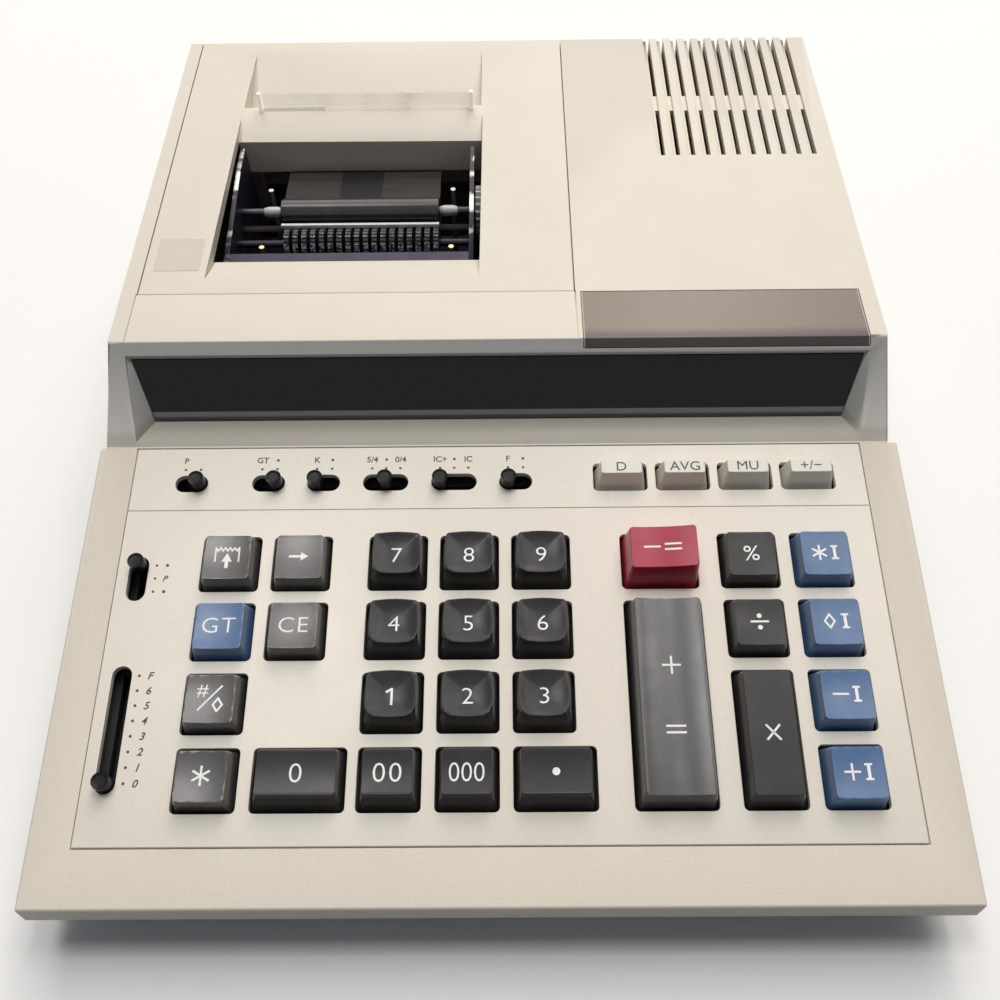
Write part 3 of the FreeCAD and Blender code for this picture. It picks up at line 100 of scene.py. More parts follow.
class Finish:
    """One material, built node by node."""

    def __init__(self, name):
        self.material = bpy.data.materials.new(name)
        self.material.use_nodes = True
        self.tree = self.material.node_tree
        self.tree.nodes.clear()

    def node(self, kind, settings, values, output=0):
        made = self.tree.nodes.new(kind)
        for setting, choice in settings.items():
            setattr(made, setting, choice)
        for socket, value in values.items():
            entry = made.inputs[socket]
            if isinstance(value, Socket):
                self.tree.links.new(value.link, entry)
            elif entry.type == "RGBA":
                entry.default_value = (*value, 1)
            else:
                entry.default_value = value
        return Socket(self, made.outputs[output]) if made.outputs else None

    def place(self):
        return self.node("ShaderNodeTexCoord", {}, {}, "Object")

    def stretched(self, scale):
        return self.node("ShaderNodeMapping", {}, {"Vector": self.place(), "Scale": scale})

    def along(self, axis):
        return self.node("ShaderNodeSeparateXYZ", {}, {0: self.place()}, axis)

    def noise(self, scale, detail=2.0, place=None):
        values = {"Vector": place or self.place(), "Scale": scale, "Detail": detail}
        return self.node("ShaderNodeTexNoise", {}, values)

    def ramp(self, value, low, high):
        """0 below the low value, 1 above the high one."""
        values = {"Value": value, "From Min": low, "From Max": high}
        return self.node("ShaderNodeMapRange", {"interpolation_type": "SMOOTHSTEP"}, values)

    def patches(self, scale, detail, low, high):
        """Noise cut off below and above, so that it leaves separate patches."""
        return self.ramp(self.noise(scale, detail), low, high)

    def streaks(self, scale, detail=3.0):
        """Noise drawn out by a scale for each axis."""
        return self.noise(1.0, detail, self.stretched(scale))

    def blend(self, amount, first, second):
        """From the first colour to the second by an amount."""
        values = {0: amount, 6: first, 7: second}
        return self.node("ShaderNodeMix", {"data_type": "RGBA"}, values, 2)

    def bump(self, height, distance):
        return self.node("ShaderNodeBump", {}, {"Height": height, "Distance": distance})

    def surface(self, **values):
        """Ends the finish in a Principled shader, its sockets written with underscores."""
        named = {socket.replace("_", " "): value for socket, value in values.items()}
        shader = self.node("ShaderNodeBsdfPrincipled", {}, named)
        self.node("ShaderNodeOutputMaterial", {}, {"Surface": shader})
        return self.material


def moulding(name, colour, worn_colour, roughness, grain, depth, painted_shade=None):
    """Moulded plastic: a fine spark-eroded grain, with patches that have yellowed or been rubbed.

    Painted shade, given as an amount and a tone, is blended over the plastic's colour where the amount asks
    for it.
    """
    finish = Finish(name)
    yellowed = finish.patches(14.0, 3.0, 0.42, 0.66)
    specks = finish.patches(900.0, 1.0, 0.30, 0.75)
    tone = finish.blend(yellowed, colour, worn_colour)
    darker = [channel * 0.93 for channel in colour]
    tone = finish.blend(specks * 0.35, tone, darker)
    if painted_shade:
        amount, grey = painted_shade(finish)
        tone = finish.blend(amount, tone, grey)
    sheen = roughness + (finish.noise(60.0, 4.0) - 0.5) * 0.16 - yellowed * 0.04
    relief = finish.bump(finish.noise(grain, 2.0), depth)
    return finish.surface(Base_Color=tone, Roughness=sheen, Normal=relief)


def start_clean():
    """Leaves nothing selected, in object mode."""
    if bpy.context.object and bpy.context.object.mode != "OBJECT":
        bpy.ops.object.mode_set(mode="OBJECT")
    bpy.ops.object.select_all(action="DESELECT")


def take_up(piece, edit=False):
    """Makes a piece the only one selected, in edit mode if that is wanted."""
    start_clean()
    piece.select_set(True)
    bpy.context.view_layer.objects.active = piece
    if edit:
        bpy.ops.object.mode_set(mode="EDIT")
        bpy.ops.mesh.select_all(action="SELECT")


def shift_by(x, y, z):
    """In edit mode, moves what is chosen."""
    bpy.ops.transform.translate(value=(x, y, z))


def settle(name=None):
    """Puts the place, turn and size of the piece just made into its mesh, and names it."""
    piece = bpy.context.object
    bpy.ops.object.transform_apply(location=True, rotation=True, scale=True)
    if name:
        piece.name = name
        piece.data.name = name
    return piece


def new_cylinder(name, centre, radius, length, sides, turn=(0, 0, 0)):
    start_clean()
    bpy.ops.mesh.primitive_cylinder_add(vertices=sides, radius=radius, depth=length, location=centre,
                                        rotation=turn)
    return settle(name)


def joined(pieces):
    """Several meshes made one, under the first one's name."""
    start_clean()
    for piece in pieces:
        piece.select_set(True)
    bpy.context.view_layer.objects.active = pieces[0]
    bpy.ops.object.join()
    return pieces[0]


def slice_across(place, normal, **rest):
    """In edit mode, cuts right through the piece."""
    bpy.ops.mesh.select_all(action="SELECT")
    bpy.ops.mesh.bisect(plane_co=place, plane_no=normal, **rest)


def choose(kind, test):
    """In edit mode, selects the faces, edges or corners that pass a test."""
    piece = bpy.context.object
    bpy.ops.mesh.select_mode(type=kind)
    bpy.ops.mesh.select_all(action="DESELECT")
    mesh = bmesh.from_edit_mesh(piece.data)
    found = {"FACE": mesh.faces, "EDGE": mesh.edges, "VERT": mesh.verts}[kind]
    for item in found:
        if test(item):
            item.select_set(True)
    bmesh.update_edit_mesh(piece.data)


def whole_copy(node, name):
    """A new piece with a CAD node's shape, its triangles merged back into whole faces."""
    piece = bpy.data.objects.new(name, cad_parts[node].data.copy())
    bpy.context.scene.collection.objects.link(piece)
    piece.data.name = name
    take_up(piece, edit=True)
    bpy.ops.mesh.remove_doubles(threshold=0.002 * mm)
    bpy.ops.mesh.dissolve_limited(angle_limit=math.radians(0.6))
    return piece


def is_sharp(edge, degrees=25):
    return len(edge.link_faces) == 2 and edge.calc_face_angle(0) > math.radians(degrees)


def middle(edge):
    return (edge.verts[0].co + edge.verts[1].co) / 2


def soften(test, radius, segments=2):
    """Rounds the edges that pass a test."""
    choose("EDGE", test)
    bpy.ops.mesh.bevel(offset=radius, segments=segments, clamp_overlap=False)


def apply_modifier(piece, kind, **settings):
    take_up(piece)
    modifier = piece.modifiers.new(kind.lower(), kind)
    for setting, choice in settings.items():
        setattr(modifier, setting, choice)
    bpy.ops.object.modifier_apply(modifier=modifier.name)


def round_rims(piece, width, segments, degrees):
    """Rounds all edges that turn by more than some degrees."""
    apply_modifier(piece, "BEVEL", width=width, segments=segments, limit_method="ANGLE",
                   angle_limit=math.radians(degrees))


def complete(piece, material, body, smooth=35):
    """Smooths a piece's gentle edges, paints it and lets it ride on its body."""
    take_up(piece)
    bpy.ops.object.shade_smooth_by_angle(angle=math.radians(smooth))
    apply_modifier(piece, "WEIGHTED_NORMAL", keep_sharp=True, weight=100)
    if material:
        piece.data.materials.clear()
        piece.data.materials.append(material)
    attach(piece, body)


deck_front = -142 * mm
lip_height = 22.5 * mm
deck_length = 122.6 * mm
deck_up = Vector((0, -math.sin(deck_slope), math.cos(deck_slope)))
deck_back = Vector((0, math.cos(deck_slope), math.sin(deck_slope)))


def deck_point(x, along, above=0.0):
    """A point over the deck: across, back from the front lip, and above the surface."""
    return Vector((x, deck_front, lip_height)) + deck_back * along + deck_up * above


face_slope = math.radians(45.6)
face_up = Vector((0, math.cos(face_slope), math.sin(face_slope)))
face_in = Vector((0, math.sin(face_slope), -math.cos(face_slope)))
junction = deck_point(0, deck_length)
brow = junction + face_up * 29.7 * mm

off_white = (0.70, 0.645, 0.555)
off_white_aged = (0.705, 0.64, 0.54)
# Painted shade tones for the face and the ledge of the display recess
face_painted_shade = (0.45, 0.44, 0.418)
ledge_painted_shade = (0.350, 0.335, 0.290)


def in_recess(finish):
    """Painted shade on the sloping face in front of the housing, with the ledge and the cheeks of the
    display: a warm darker grey on the ledge, a lighter cool grey up the face.
    """
    level = finish.along(2)
    ahead = 1 - finish.ramp(finish.along(1), brow.y - 0.1 * mm, brow.y + 0.4 * mm)
    grey = finish.blend(finish.ramp(level, 48.0 * mm, 50.0 * mm), ledge_painted_shade, face_painted_shade)
    return ahead * (level > junction.z + 0.3 * mm), grey


# The case's plastic carries painted shade in the display recess.
case_finish = moulding("case_plastic", off_white, off_white_aged, 0.44, 2600.0, 0.00006, in_recess)
case = whole_copy("upper_case", "case_upper")


def is_outer_edge(edge):
    """The long edges of the case: brow, lips, sides and rear, but none of the vents or seams."""
    at = middle(edge)
    if not is_sharp(edge) or edge.calc_length() < 3 * mm:
        return False
    on_brow = abs(at.y - brow.y) < 0.05 * mm and abs(at.z - brow.z) < 0.05 * mm
    on_side = abs(at.x) > 108.5 * mm and at.z > 18 * mm
    on_front = at.y < -141.9 * mm and at.z > 22 * mm
    return on_brow or on_side or on_front


soften(is_outer_edge, 0.7 * mm, segments=3)
complete(case, case_finish, "case")
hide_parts("upper_case")


# Keyboard panel
# A separate smooth plate of the same off-white plastic, set flush into the deck, with a round-cornered hole
# for each key and a slot for each slide. A fine groove marks off the strip of slides.

pitch = 19.05 * mm
hole = 15.7 * mm
first_row = 29.6 * mm
rows = [first_row + pitch * row for row in range(4)]
function_x = -71.4 * mm
digit_x = -26.7 * mm
total_x = 42.85 * mm
total_width = 20.3 * mm
operator_x = 66.65 * mm
memory_x = 86.05 * mm

key_places = {
    "key_paper_feed": (function_x, rows[3], hole, hole),
    "key_backspace": (function_x + pitch, rows[3], hole, hole),
    "key_grand_total": (function_x, rows[2], hole, hole),
    "key_clear_entry": (function_x + pitch, rows[2], hole, hole),
    "key_number_subtotal": (function_x, rows[1], hole, hole),
    "key_total": (function_x, rows[0], hole, hole),
    "key_percent": (operator_x, rows[3], hole, hole),
    "key_divide": (operator_x, rows[2], hole, hole),
    "key_memory_total": (memory_x, rows[3], hole, hole),
    "key_memory_subtotal": (memory_x, rows[2], hole, hole),
    "key_memory_minus": (memory_x, rows[1], hole, hole),
    "key_memory_plus": (memory_x, rows[0], hole, hole),
    "key_0": (-48.7 * mm, rows[0], 23.0 * mm, hole),
    "key_00": (digit_x, rows[0], hole, hole),
    "key_000": (digit_x + pitch, rows[0], hole, hole),
    "key_point": (13.8 * mm, rows[0], 20.5 * mm, hole),
    "key_minus_equals": (total_x, rows[3], total_width, hole),
    "key_plus_equals": (total_x, rows[1], total_width, hole + 2 * pitch),
    "key_multiply": (operator_x, rows[0] + pitch / 2, hole, hole + pitch),
}
for digit in range(1, 10):
    column, line = (digit - 1) % 3, (digit - 1) // 3
    key_places["key_%d" % digit] = (digit_x + column * pitch, rows[line + 1], hole, hole)
for number, name in enumerate(("key_date", "key_average", "key_markup", "key_sign_change")):
    key_places[name] = ((33.9 + 17.25 * number) * mm, 112.2 * mm, 14.9 * mm, 8.4 * mm)

knob_radius = 2.15 * mm
slot_width = 5.0 * mm
slot_end = 0.35 * mm

# Each slide: middle of its slot across and along, whether it runs across, one step, steps, knob's step
slides = {
    "slide_power": (-84.95 * mm, 111.1 * mm, True, 4.0 * mm, 1, 1),
    "slide_grand_total": (-63.6 * mm, 111.1 * mm, True, 4.0 * mm, 1, 1),
    "slide_constant": (-48.3 * mm, 111.1 * mm, True, 4.0 * mm, 1, 0),
    "slide_rounding": (-31.1 * mm, 111.1 * mm, True, 3.75 * mm, 2, 1),
    "slide_item_counter": (-12.15 * mm, 111.1 * mm, True, 3.75 * mm, 2, 0),
    "slide_add_mode": (4.95 * mm, 111.1 * mm, True, 4.0 * mm, 1, 0),
    "slide_print_mode": (-95.8 * mm, 82.8 * mm, False, 3.75 * mm, 2, 2),
    "slide_decimal": (-95.8 * mm, 42.56 * mm, False, 3.867 * mm, 7, 0),
}


def new_block(name, centre, size):
    """A rectangular block to start a piece from, with its object at the origin."""
    start_clean()
    bpy.ops.mesh.primitive_cube_add(size=1, location=centre)
    bpy.context.object.scale = size
    return settle(name)


def is_upright(edge):
    run = edge.verts[1].co - edge.verts[0].co
    return abs(run.normalized().z) > 0.99


def cut_with(piece, cutter):
    """Takes a cutter's shape out of a piece, and the cutter away."""
    apply_modifier(piece, "BOOLEAN", object=cutter, operation="DIFFERENCE", solver="EXACT")
    bpy.data.objects.remove(cutter)


def round_cutter(places, corner, segments):
    """Upright blocks with rounded corners, in one mesh, to cut holes with."""
    cutter = None
    for x, along, width, depth in places:
        block = new_block("cutter", (x, along, 0), (width, depth, 8 * mm))
        take_up(block, edit=True)
        soften(is_upright, corner, segments)
        cutter = joined([cutter, block]) if cutter else block
    return cutter


def tip(piece, edge, slope):
    """Tips a piece modelled on the level to a slope that starts at an edge."""
    take_up(piece)
    piece.matrix_world = Matrix.Translation(edge) @ Matrix.Rotation(slope, 4, "X")
    settle()


def lay_on_deck(piece):
    tip(piece, (0, deck_front, lip_height), deck_slope)


panel_width = 202.8 * mm
panel_front = 14.0 * mm
panel_rear = 122.2 * mm
panel_top = 0.2 * mm
panel_thickness = 1.8 * mm
crease = 102.8 * mm

panel_middle = (0, (panel_front + panel_rear) / 2, panel_top - panel_thickness / 2)
panel = new_block("panel", panel_middle, (panel_width, panel_rear - panel_front, panel_thickness))
slots = []
for x, along, sideways, step, steps, start in slides.values():
    run = 2 * knob_radius + 2 * slot_end + steps * step
    slots.append((x, along, run, slot_width) if sideways else (x, along, slot_width, run))
cut_with(panel, round_cutter(key_places.values(), 1.25 * mm, 5))
cut_with(panel, round_cutter(slots, 2.48 * mm, 8))
cut_with(panel, new_block("cutter", (0, crease, panel_top), (panel_width + 2 * mm, 0.4 * mm, 0.5 * mm)))


def is_rim(edge):
    """The upper edges of the panel's outline and holes, but not of its groove."""
    at = middle(edge)
    return is_sharp(edge, 60) and at.z > 0.15 * mm and abs(at.y - crease) > 0.5 * mm


take_up(panel, edit=True)
soften(is_rim, 0.22 * mm)
lay_on_deck(panel)
panel_finish = moulding("panel_plastic", (0.73, 0.69, 0.605), (0.735, 0.68, 0.585), 0.30, 3200.0, 0.00002)
complete(panel, panel_finish, "case")
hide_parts("keyboard_panel")


# Marks on the panel
# Small digits, dots and letters printed in black ink beside each slide, thin and a little raised.

def ink(name, colour, worn_colour):
    finish = Finish(name)
    tone = finish.blend(finish.patches(700.0, 2.0, 0.35, 0.75), colour, worn_colour)
    return finish.surface(Base_Color=tone, Roughness=0.45 + finish.noise(900.0) * 0.1)


panel_ink = ink("panel_ink", (0.010, 0.010, 0.010), (0.030, 0.029, 0.027))


def letters(words, height, x, along, slant=0.0, stretch=1.0, spacing=1.0, bold=0.0):
    """Flat letters of a height, centred on a place on the level deck."""
    start_clean()
    bpy.ops.object.text_add()
    drawing = bpy.context.object
    drawing.data.body = words
    drawing.data.size = height / 0.70
    drawing.data.shear = slant
    drawing.data.space_character = spacing
    drawing.data.offset = bold
    drawing.data.resolution_u = 3
    bpy.ops.object.convert(target="MESH")
    drawing = bpy.context.object
    xs = [corner.co.x * stretch for corner in drawing.data.vertices]
    ys = [corner.co.y for corner in drawing.data.vertices]
    drawing.scale = (stretch, 1, 1)
    drawing.location = (x - (min(xs) + max(xs)) / 2, along - (min(ys) + max(ys)) / 2, 0)
    return settle()


def strokes(points, width, x=0.0, along=0.0):
    """A flat line of a width through points, about a place on the level deck."""
    drawing = None
    for first, second in zip(points, points[1:]):
        start_clean()
        start, end = Vector(first), Vector(second)
        run = end - start
        centre = (start + end) / 2
        bpy.ops.mesh.primitive_plane_add(size=1, location=(x + centre.x, along + centre.y, 0))
        plane = bpy.context.object
        plane.rotation_euler = (0, 0, math.atan2(run.y, run.x))
        plane.scale = (run.length + width * 0.7, width, 1)
        settle()
        drawing = joined([drawing, plane]) if drawing else plane
    return drawing


def dot(radius, x, along):
    start_clean()
    bpy.ops.mesh.primitive_circle_add(vertices=16, radius=radius, fill_type="NGON", location=(x, along, 0))
    return settle()


def raise_flat(drawing, height, thickness):
    """Lifts a flat drawing to a height and gives it the thickness of ink."""
    take_up(drawing, edit=True)
    shift_by(0, 0, height)
    start_clean()
    apply_modifier(drawing, "SOLIDIFY", thickness=thickness, offset=1.0)


label_row = 118.3 * mm
dot_row = 115.5 * mm
label_height = 1.75 * mm
label_bold = 0.05 * mm
scale_x = -88.3 * mm
marks = []

# Letters above the row of slides: for each slide, what stands over each place of its knob
slide_labels = {
    "slide_power": ("P", ""),
    "slide_grand_total": ("GT", "."),
    "slide_constant": ("K", "."),
    "slide_rounding": ("5/4", ".", "0/4"),
    "slide_item_counter": ("IC+", ".", "IC"),
    "slide_add_mode": ("F", "."),
}
for name, labels in slide_labels.items():
    x, along, sideways, step, steps, start = slides[name]
    for number, label in enumerate(labels):
        spot = x + (number - steps / 2) * step * 1.05
        marks.append(dot(0.38 * mm, spot, dot_row))
        if label == ".":
            marks.append(dot(0.42 * mm, spot, label_row))
        elif label:
            marks.append(letters(label, label_height, spot, label_row, bold=label_bold))

# The scale of decimal places beside the long slot, from F down to 0
decimal_row, sideways, decimal_step, decimal_steps, start = slides["slide_decimal"][1:]
for number, label in enumerate("0123456F"):
    row = decimal_row + (number - decimal_steps / 2) * decimal_step
    marks.append(dot(0.38 * mm, -91.3 * mm, row))
    marks.append(letters(label, 1.9 * mm, scale_x, row, slant=0.25, bold=label_bold))

# The three marks beside the short slot
print_row, sideways, print_step, print_steps, start = slides["slide_print_mode"][1:]
for number, label in enumerate(("", "P", "")):
    row = print_row + (number - print_steps / 2) * print_step
    marks.append(dot(0.35 * mm, -91.1 * mm, row))
    if label:
        marks.append(letters(label, 1.6 * mm, scale_x, row, slant=0.25, bold=label_bold))
    else:
        marks.append(dot(0.45 * mm, scale_x, row))

panel_marks = joined(marks)
panel_marks.name = "panel_marks"
panel_marks.data.name = "panel_marks"
raise_flat(panel_marks, panel_top, 0.02 * mm)
lay_on_deck(panel_marks)
complete(panel_marks, panel_ink, "case")


# Key caps
# Double-shot caps of satin charcoal, blue and crimson plastic. Each is a tapered shell with a dished top and
# its legend moulded through in white, pressed on a square stem that slides in the frame below.

key_gap = 0.4 * mm
key_skirt = 2.6 * mm
key_height = 5.0 * mm
key_corner = 1.1 * mm
stem_size = 4.0 * mm
stem_bottom = -12.2 * mm
stem_top = key_height - 2.2 * mm
foot_overhang = 0.8 * mm
foot_height = 1.0 * mm
one_stem = ((0, 0),)
wide_stems = ((-6 * mm, 0), (6 * mm, 0))


def key_plastic(name, colour, rubbed_colour, shine):
    """Hard satin plastic that fingers have polished in places."""
    finish = Finish(name)
    rubbed = finish.patches(110.0, 3.0, 0.40, 0.70)
    tone = finish.blend(rubbed, colour, rubbed_colour)
    tone = finish.blend(finish.patches(2400.0, 1.0, 0.45, 0.7) * 0.25, tone, rubbed_colour)
    sheen = 0.24 - rubbed * 0.04 + (finish.noise(500.0, 3.0) - 0.5) * 0.06
    relief = finish.bump(finish.noise(4200.0, 2.0), 0.00002)
    return finish.surface(Base_Color=tone, Roughness=sheen, Normal=relief, Specular_IOR_Level=shine)


charcoal = key_plastic("key_charcoal", (0.026, 0.024, 0.026), (0.037, 0.034, 0.036), 0.18)
satin_charcoal = key_plastic("key_satin_charcoal", (0.024, 0.022, 0.025), (0.034, 0.031, 0.035), 0.50)
umber_grey = key_plastic("key_dark_grey", (0.044, 0.040, 0.043), (0.060, 0.055, 0.058), 0.48)
crimson = key_plastic("key_crimson", (0.38, 0.012, 0.045), (0.44, 0.020, 0.060), 0.26)
blue = key_plastic("key_blue_plastic", (0.066, 0.142, 0.30), (0.082, 0.168, 0.34), 0.34)
legend_white = ink("legend_white", (0.93, 0.93, 0.92), (0.82, 0.82, 0.80))


def is_top(height):
    return lambda face: face.normal.z > 0.9 and face.calc_center_median().z > height - 1.0 * mm


def mould_cap(name, height, side_inset, front_inset, rear_inset, lean=0.0):
    """A cap's tapered shell on the level deck, its top still flat, left in edit mode with the top chosen.

    A cap that leans has its top set to the right, so that its right side is the steeper.
    """
    x, along, width, depth = key_places[name]
    width, depth = width - 2 * key_gap, depth - 2 * key_gap
    cap_middle = (x, along, (height - key_skirt) / 2)
    cap = new_block("cap_" + name[4:], cap_middle, (width, depth, height + key_skirt))
    take_up(cap, edit=True)
    soften(is_upright, key_corner, 5)
    choose("FACE", is_top(height))
    top_size = (1 - 2 * side_inset / width, 1 - (front_inset + rear_inset) / depth, 1)
    bpy.ops.transform.resize(value=top_size, center_override=(x, along, height))
    shift_by(lean, (front_inset - rear_inset) / 2, 0)
    return cap


def bow_sides(name, height, shift, amount):
    """Swells a cap's sides towards its top and rounds the two front corners of the top more than the rest."""
    x, along, width, depth = key_places[name]
    for offset in (-0.26, -0.13, 0, 0.13, 0.26):
        slice_across((x + offset * width, along, 0), (1, 0, 0))
        slice_across((x, along + offset * depth, 0), (0, 1, 0))
    choose("FACE", is_top(height))
    bpy.ops.mesh.dissolve_faces()
    choose("FACE", is_top(height))
    bpy.ops.transform.tosphere(value=amount)
    front = along + shift - 0.20 * depth
    choose("VERT", lambda corner: corner.co.z > height - 0.1 * mm and corner.co.y < front
           and abs(corner.co.x - x) > 0.30 * width)
    bpy.ops.transform.resize(value=(0.93, 0.93, 1), center_override=(x, along + shift, height))
    choose("FACE", is_top(height))


def dish(name, height, depth, shift, lip=0.35 * mm, rings=9):
    """Sinks the chosen top into a bowl inside a narrow lip, ring by ring, each rounder than the last."""
    x, along, width, rear = key_places[name]
    centre = (x, along + shift, height)
    reach = 1.0
    sunk = 0.0
    for ring in range(rings):
        smaller = (1 - 2.4 * lip / width) * (1 - ring / rings)
        target = depth * (1 - (1 - ring / rings) ** 2)
        bpy.ops.mesh.extrude_region_move()
        bpy.ops.transform.resize(value=(smaller / reach, smaller / reach, 1), center_override=centre)
        bpy.ops.transform.tosphere(value=0.16 if ring else 0.05)
        shift_by(0, 0, sunk - target)
        reach = smaller
        sunk = target


def sink_dish(cap, name, height, depth, radius):
    """Grinds a very shallow round hollow into a cap's top, right out to its corners."""
    x, along = key_places[name][:2]
    start_clean()
    ball_middle = (x, along + 0.1 * mm, height - depth + radius)
    bpy.ops.mesh.primitive_uv_sphere_add(segments=64, ring_count=320, radius=radius, location=ball_middle)
    ball = bpy.context.object
    take_up(ball, edit=True)
    slice_across((x, along, height + 1.0 * mm), (0, 0, 1), clear_outer=True, use_fill=True)
    cut_with(cap, ball)


def scoop(name, height, depth, side_inset, rim=0.0, axis=0, slices=12, lean=0.0):
    """Hollows the top into a trough, its curve across the cap, or along it for axis 1."""
    centre = key_places[name][axis] + lean
    half = key_places[name][axis + 2] / 2 - key_gap - side_inset - rim
    normal = (1 - axis, axis, 0)
    stops = [centre + half * (2 * number / slices - 1) for number in range(slices + 1)]
    for stop in stops:
        slice_across((stop * (1 - axis), stop * axis, 0), normal)
    for stop in stops:
        share = (stop - centre) / half
        choose("VERT", lambda corner: abs(corner.co[axis] - stop) < 0.02 * mm
               and corner.co.z > height - 0.01 * mm)
        shift_by(0, 0, -depth * (1 - share ** 2))


def step_front(name, height, back):
    """Draws the middle of the front wall back, so that the wall is steep above and flared below."""
    x, along, width, depth = key_places[name]
    slice_across((x, along, height * 0.55), (0, 0, 1))
    front = along - depth * 0.33
    choose("VERT", lambda corner: abs(corner.co.z - height * 0.55) < 0.02 * mm and corner.co.y < front)
    shift_by(0, back, 0)


def add_stems(cap, name, offsets):
    """The square stems below a cap, each with the foot that stops it under the frame."""
    x, along = key_places[name][:2]
    length = stem_top - stem_bottom
    foot_size = (stem_size + 2 * foot_overhang, stem_size, foot_height)
    parts = [cap]
    for dx, dy in offsets:
        stem_middle = (x + dx, along + dy, stem_bottom + length / 2)
        foot_middle = (x + dx, along + dy, stem_bottom - foot_height / 2)
        parts.append(new_block("stem", stem_middle, (stem_size, stem_size, length)))
        parts.append(new_block("foot", foot_middle, foot_size))
    joined(parts)


def print_on(cap, drawings, height, paint):
    """Drapes flat legends over a cap's top as a thin layer."""
    drawing = joined(drawings)
    take_up(drawing, edit=True)
    shift_by(0, 0, height + 2 * mm)
    start_clean()
    apply_modifier(drawing, "SHRINKWRAP", target=cap, wrap_method="PROJECT", use_project_z=True,
                   use_negative_direction=True, use_positive_direction=False, offset=0.02 * mm)
    apply_modifier(drawing, "SOLIDIFY", thickness=0.06 * mm, offset=0.0)
    drawing.data.materials.clear()
    drawing.data.materials.append(paint)
    return drawing


def complete_key(cap, name, drawings, material, height=key_height, stems=one_stem, paint=legend_white):
    """Rounds a cap's rims, prints its legend, adds the stem and sets the key on the deck."""
    round_rims(cap, 0.18 * mm, 2, 38)
    cap.data.materials.clear()
    cap.data.materials.append(material)
    legend = print_on(cap, drawings, height, paint)
    add_stems(cap, name, stems)
    joined([cap, legend])
    lay_on_deck(cap)
    complete(cap, None, name, smooth=38)
    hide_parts(name)


legend_height = 4.2 * mm


# Digit keys
# Charcoal caps with a soft round-cornered bowl set back from the front wall, so that the lip makes a U.

legend_line = 0.52 * mm
legend_bold = -0.06 * mm
one_shape = [(-1.05 * mm, 1.15 * mm), (0.25 * mm, 1.85 * mm), (0.25 * mm, -2.0 * mm)]

for digit in range(1, 10):
    name = "key_%d" % digit
    x, along = key_places[name][:2]
    cap = mould_cap(name, key_height, 1.30 * mm, 2.8 * mm, 0.7 * mm)
    bow_sides(name, key_height, 1.0 * mm, 0.20)
    dish(name, key_height, 0.85 * mm, 1.0 * mm)
    if digit == 1:
        figure = strokes(one_shape, 0.6 * mm, x, along + 0.5 * mm)
    else:
        figure = letters(str(digit), legend_height, x, along + 0.5 * mm, stretch=1.12, bold=legend_bold)
    complete_key(cap, name, [figure], charcoal)


# Function keys
# Dark grey caps with crisp square tops, each ground with a very shallow round hollow. Percent and divide
# are the same caps in charcoal.

def bar(x, along, length, upright=False):
    half = length / 2
    ends = [(0, -half), (0, half)] if upright else [(-half, 0), (half, 0)]
    return strokes(ends, legend_line, x, along)


def plus_sign(x, along, size):
    return joined([bar(x, along, size), bar(x, along, size, upright=True)])


def serifed_i(x, along):
    """A capital I with a thick stem and bars at head and foot."""
    stem = strokes([(0, -1.7 * mm), (0, 1.7 * mm)], 0.75 * mm, x, along)
    return joined([stem, bar(x, along - 1.75 * mm, 1.5 * mm), bar(x, along + 1.75 * mm, 1.5 * mm)])


def lozenge(x, along, height, width):
    top, side = height / 2, width / 2
    return strokes([(0, -top), (side, 0), (0, top), (-side, 0), (0, -top)], 0.5 * mm, x, along)


def wedge_head(x, along, size, turn):
    """A solid arrow head."""
    start_clean()
    bpy.ops.mesh.primitive_circle_add(vertices=3, radius=size, fill_type="NGON", location=(x, along, 0),
                                      rotation=(0, 0, turn))
    return settle()


def paper_and_arrow(x, along):
    """A torn paper end with an arrow up: the sign for paper feed."""
    edge = 3.1 * mm
    teeth = [(-edge + number * edge / 5, (1.7 if number % 2 else 2.6) * mm) for number in range(11)]
    paper = strokes([(-edge, -1.3 * mm), *teeth, (edge, -1.3 * mm)], 0.42 * mm, x, along)
    shaft = strokes([(0, -2.9 * mm), (0, -0.6 * mm)], 0.9 * mm, x, along)
    return joined([paper, shaft, wedge_head(x, along - 0.55 * mm, 1.6 * mm, 0)])


def arrow_right(x, along):
    shaft = strokes([(-2.5 * mm, 0), (0.6 * mm, 0)], 0.7 * mm, x, along)
    return joined([shaft, wedge_head(x + 1.1 * mm, along, 1.35 * mm, math.radians(-90))])


def star(x, along, size):
    arms = []
    for turn in range(3):
        angle = math.radians(90 + 60 * turn)
        tip = (size * math.cos(angle), size * math.sin(angle))
        arms.append(strokes([(-tip[0], -tip[1]), tip], 0.55 * mm, x, along))
    return joined(arms)


def hash_and_lozenge(x, along):
    """Number sign over subtotal sign, with a slash between them."""
    slash = strokes([(-2.7 * mm, -3.0 * mm), (2.7 * mm, 3.0 * mm)], 0.48 * mm, x, along)
    number_sign = letters("#", 3.1 * mm, x - 2.0 * mm, along + 1.8 * mm, stretch=1.1)
    return joined([slash, number_sign, lozenge(x + 2.0 * mm, along - 1.7 * mm, 3.3 * mm, 2.3 * mm)])


def divide_sign(x, along):
    parts = [bar(x, along, 4.3 * mm)]
    for rise in (1.55 * mm, -1.55 * mm):
        parts.append(dot(0.62 * mm, x, along + rise))
    return joined(parts)


def word(text, **spread):
    """A sign that is a word: like the others, something that draws it at a place."""
    return lambda x, along: letters(text, legend_height, x, along, **spread)


def plain_cap(name, material, drawings):
    cap = mould_cap(name, key_height, 1.35 * mm, 1.45 * mm, 1.25 * mm)
    sink_dish(cap, name, key_height, 0.60 * mm, 68 * mm)
    complete_key(cap, name, drawings, material)


def at_key(name, right=0.0, back=0.0):
    """The place of a legend on a key, a little behind the key's middle."""
    x, along = key_places[name][:2]
    return x + right, along + 0.3 * mm + back


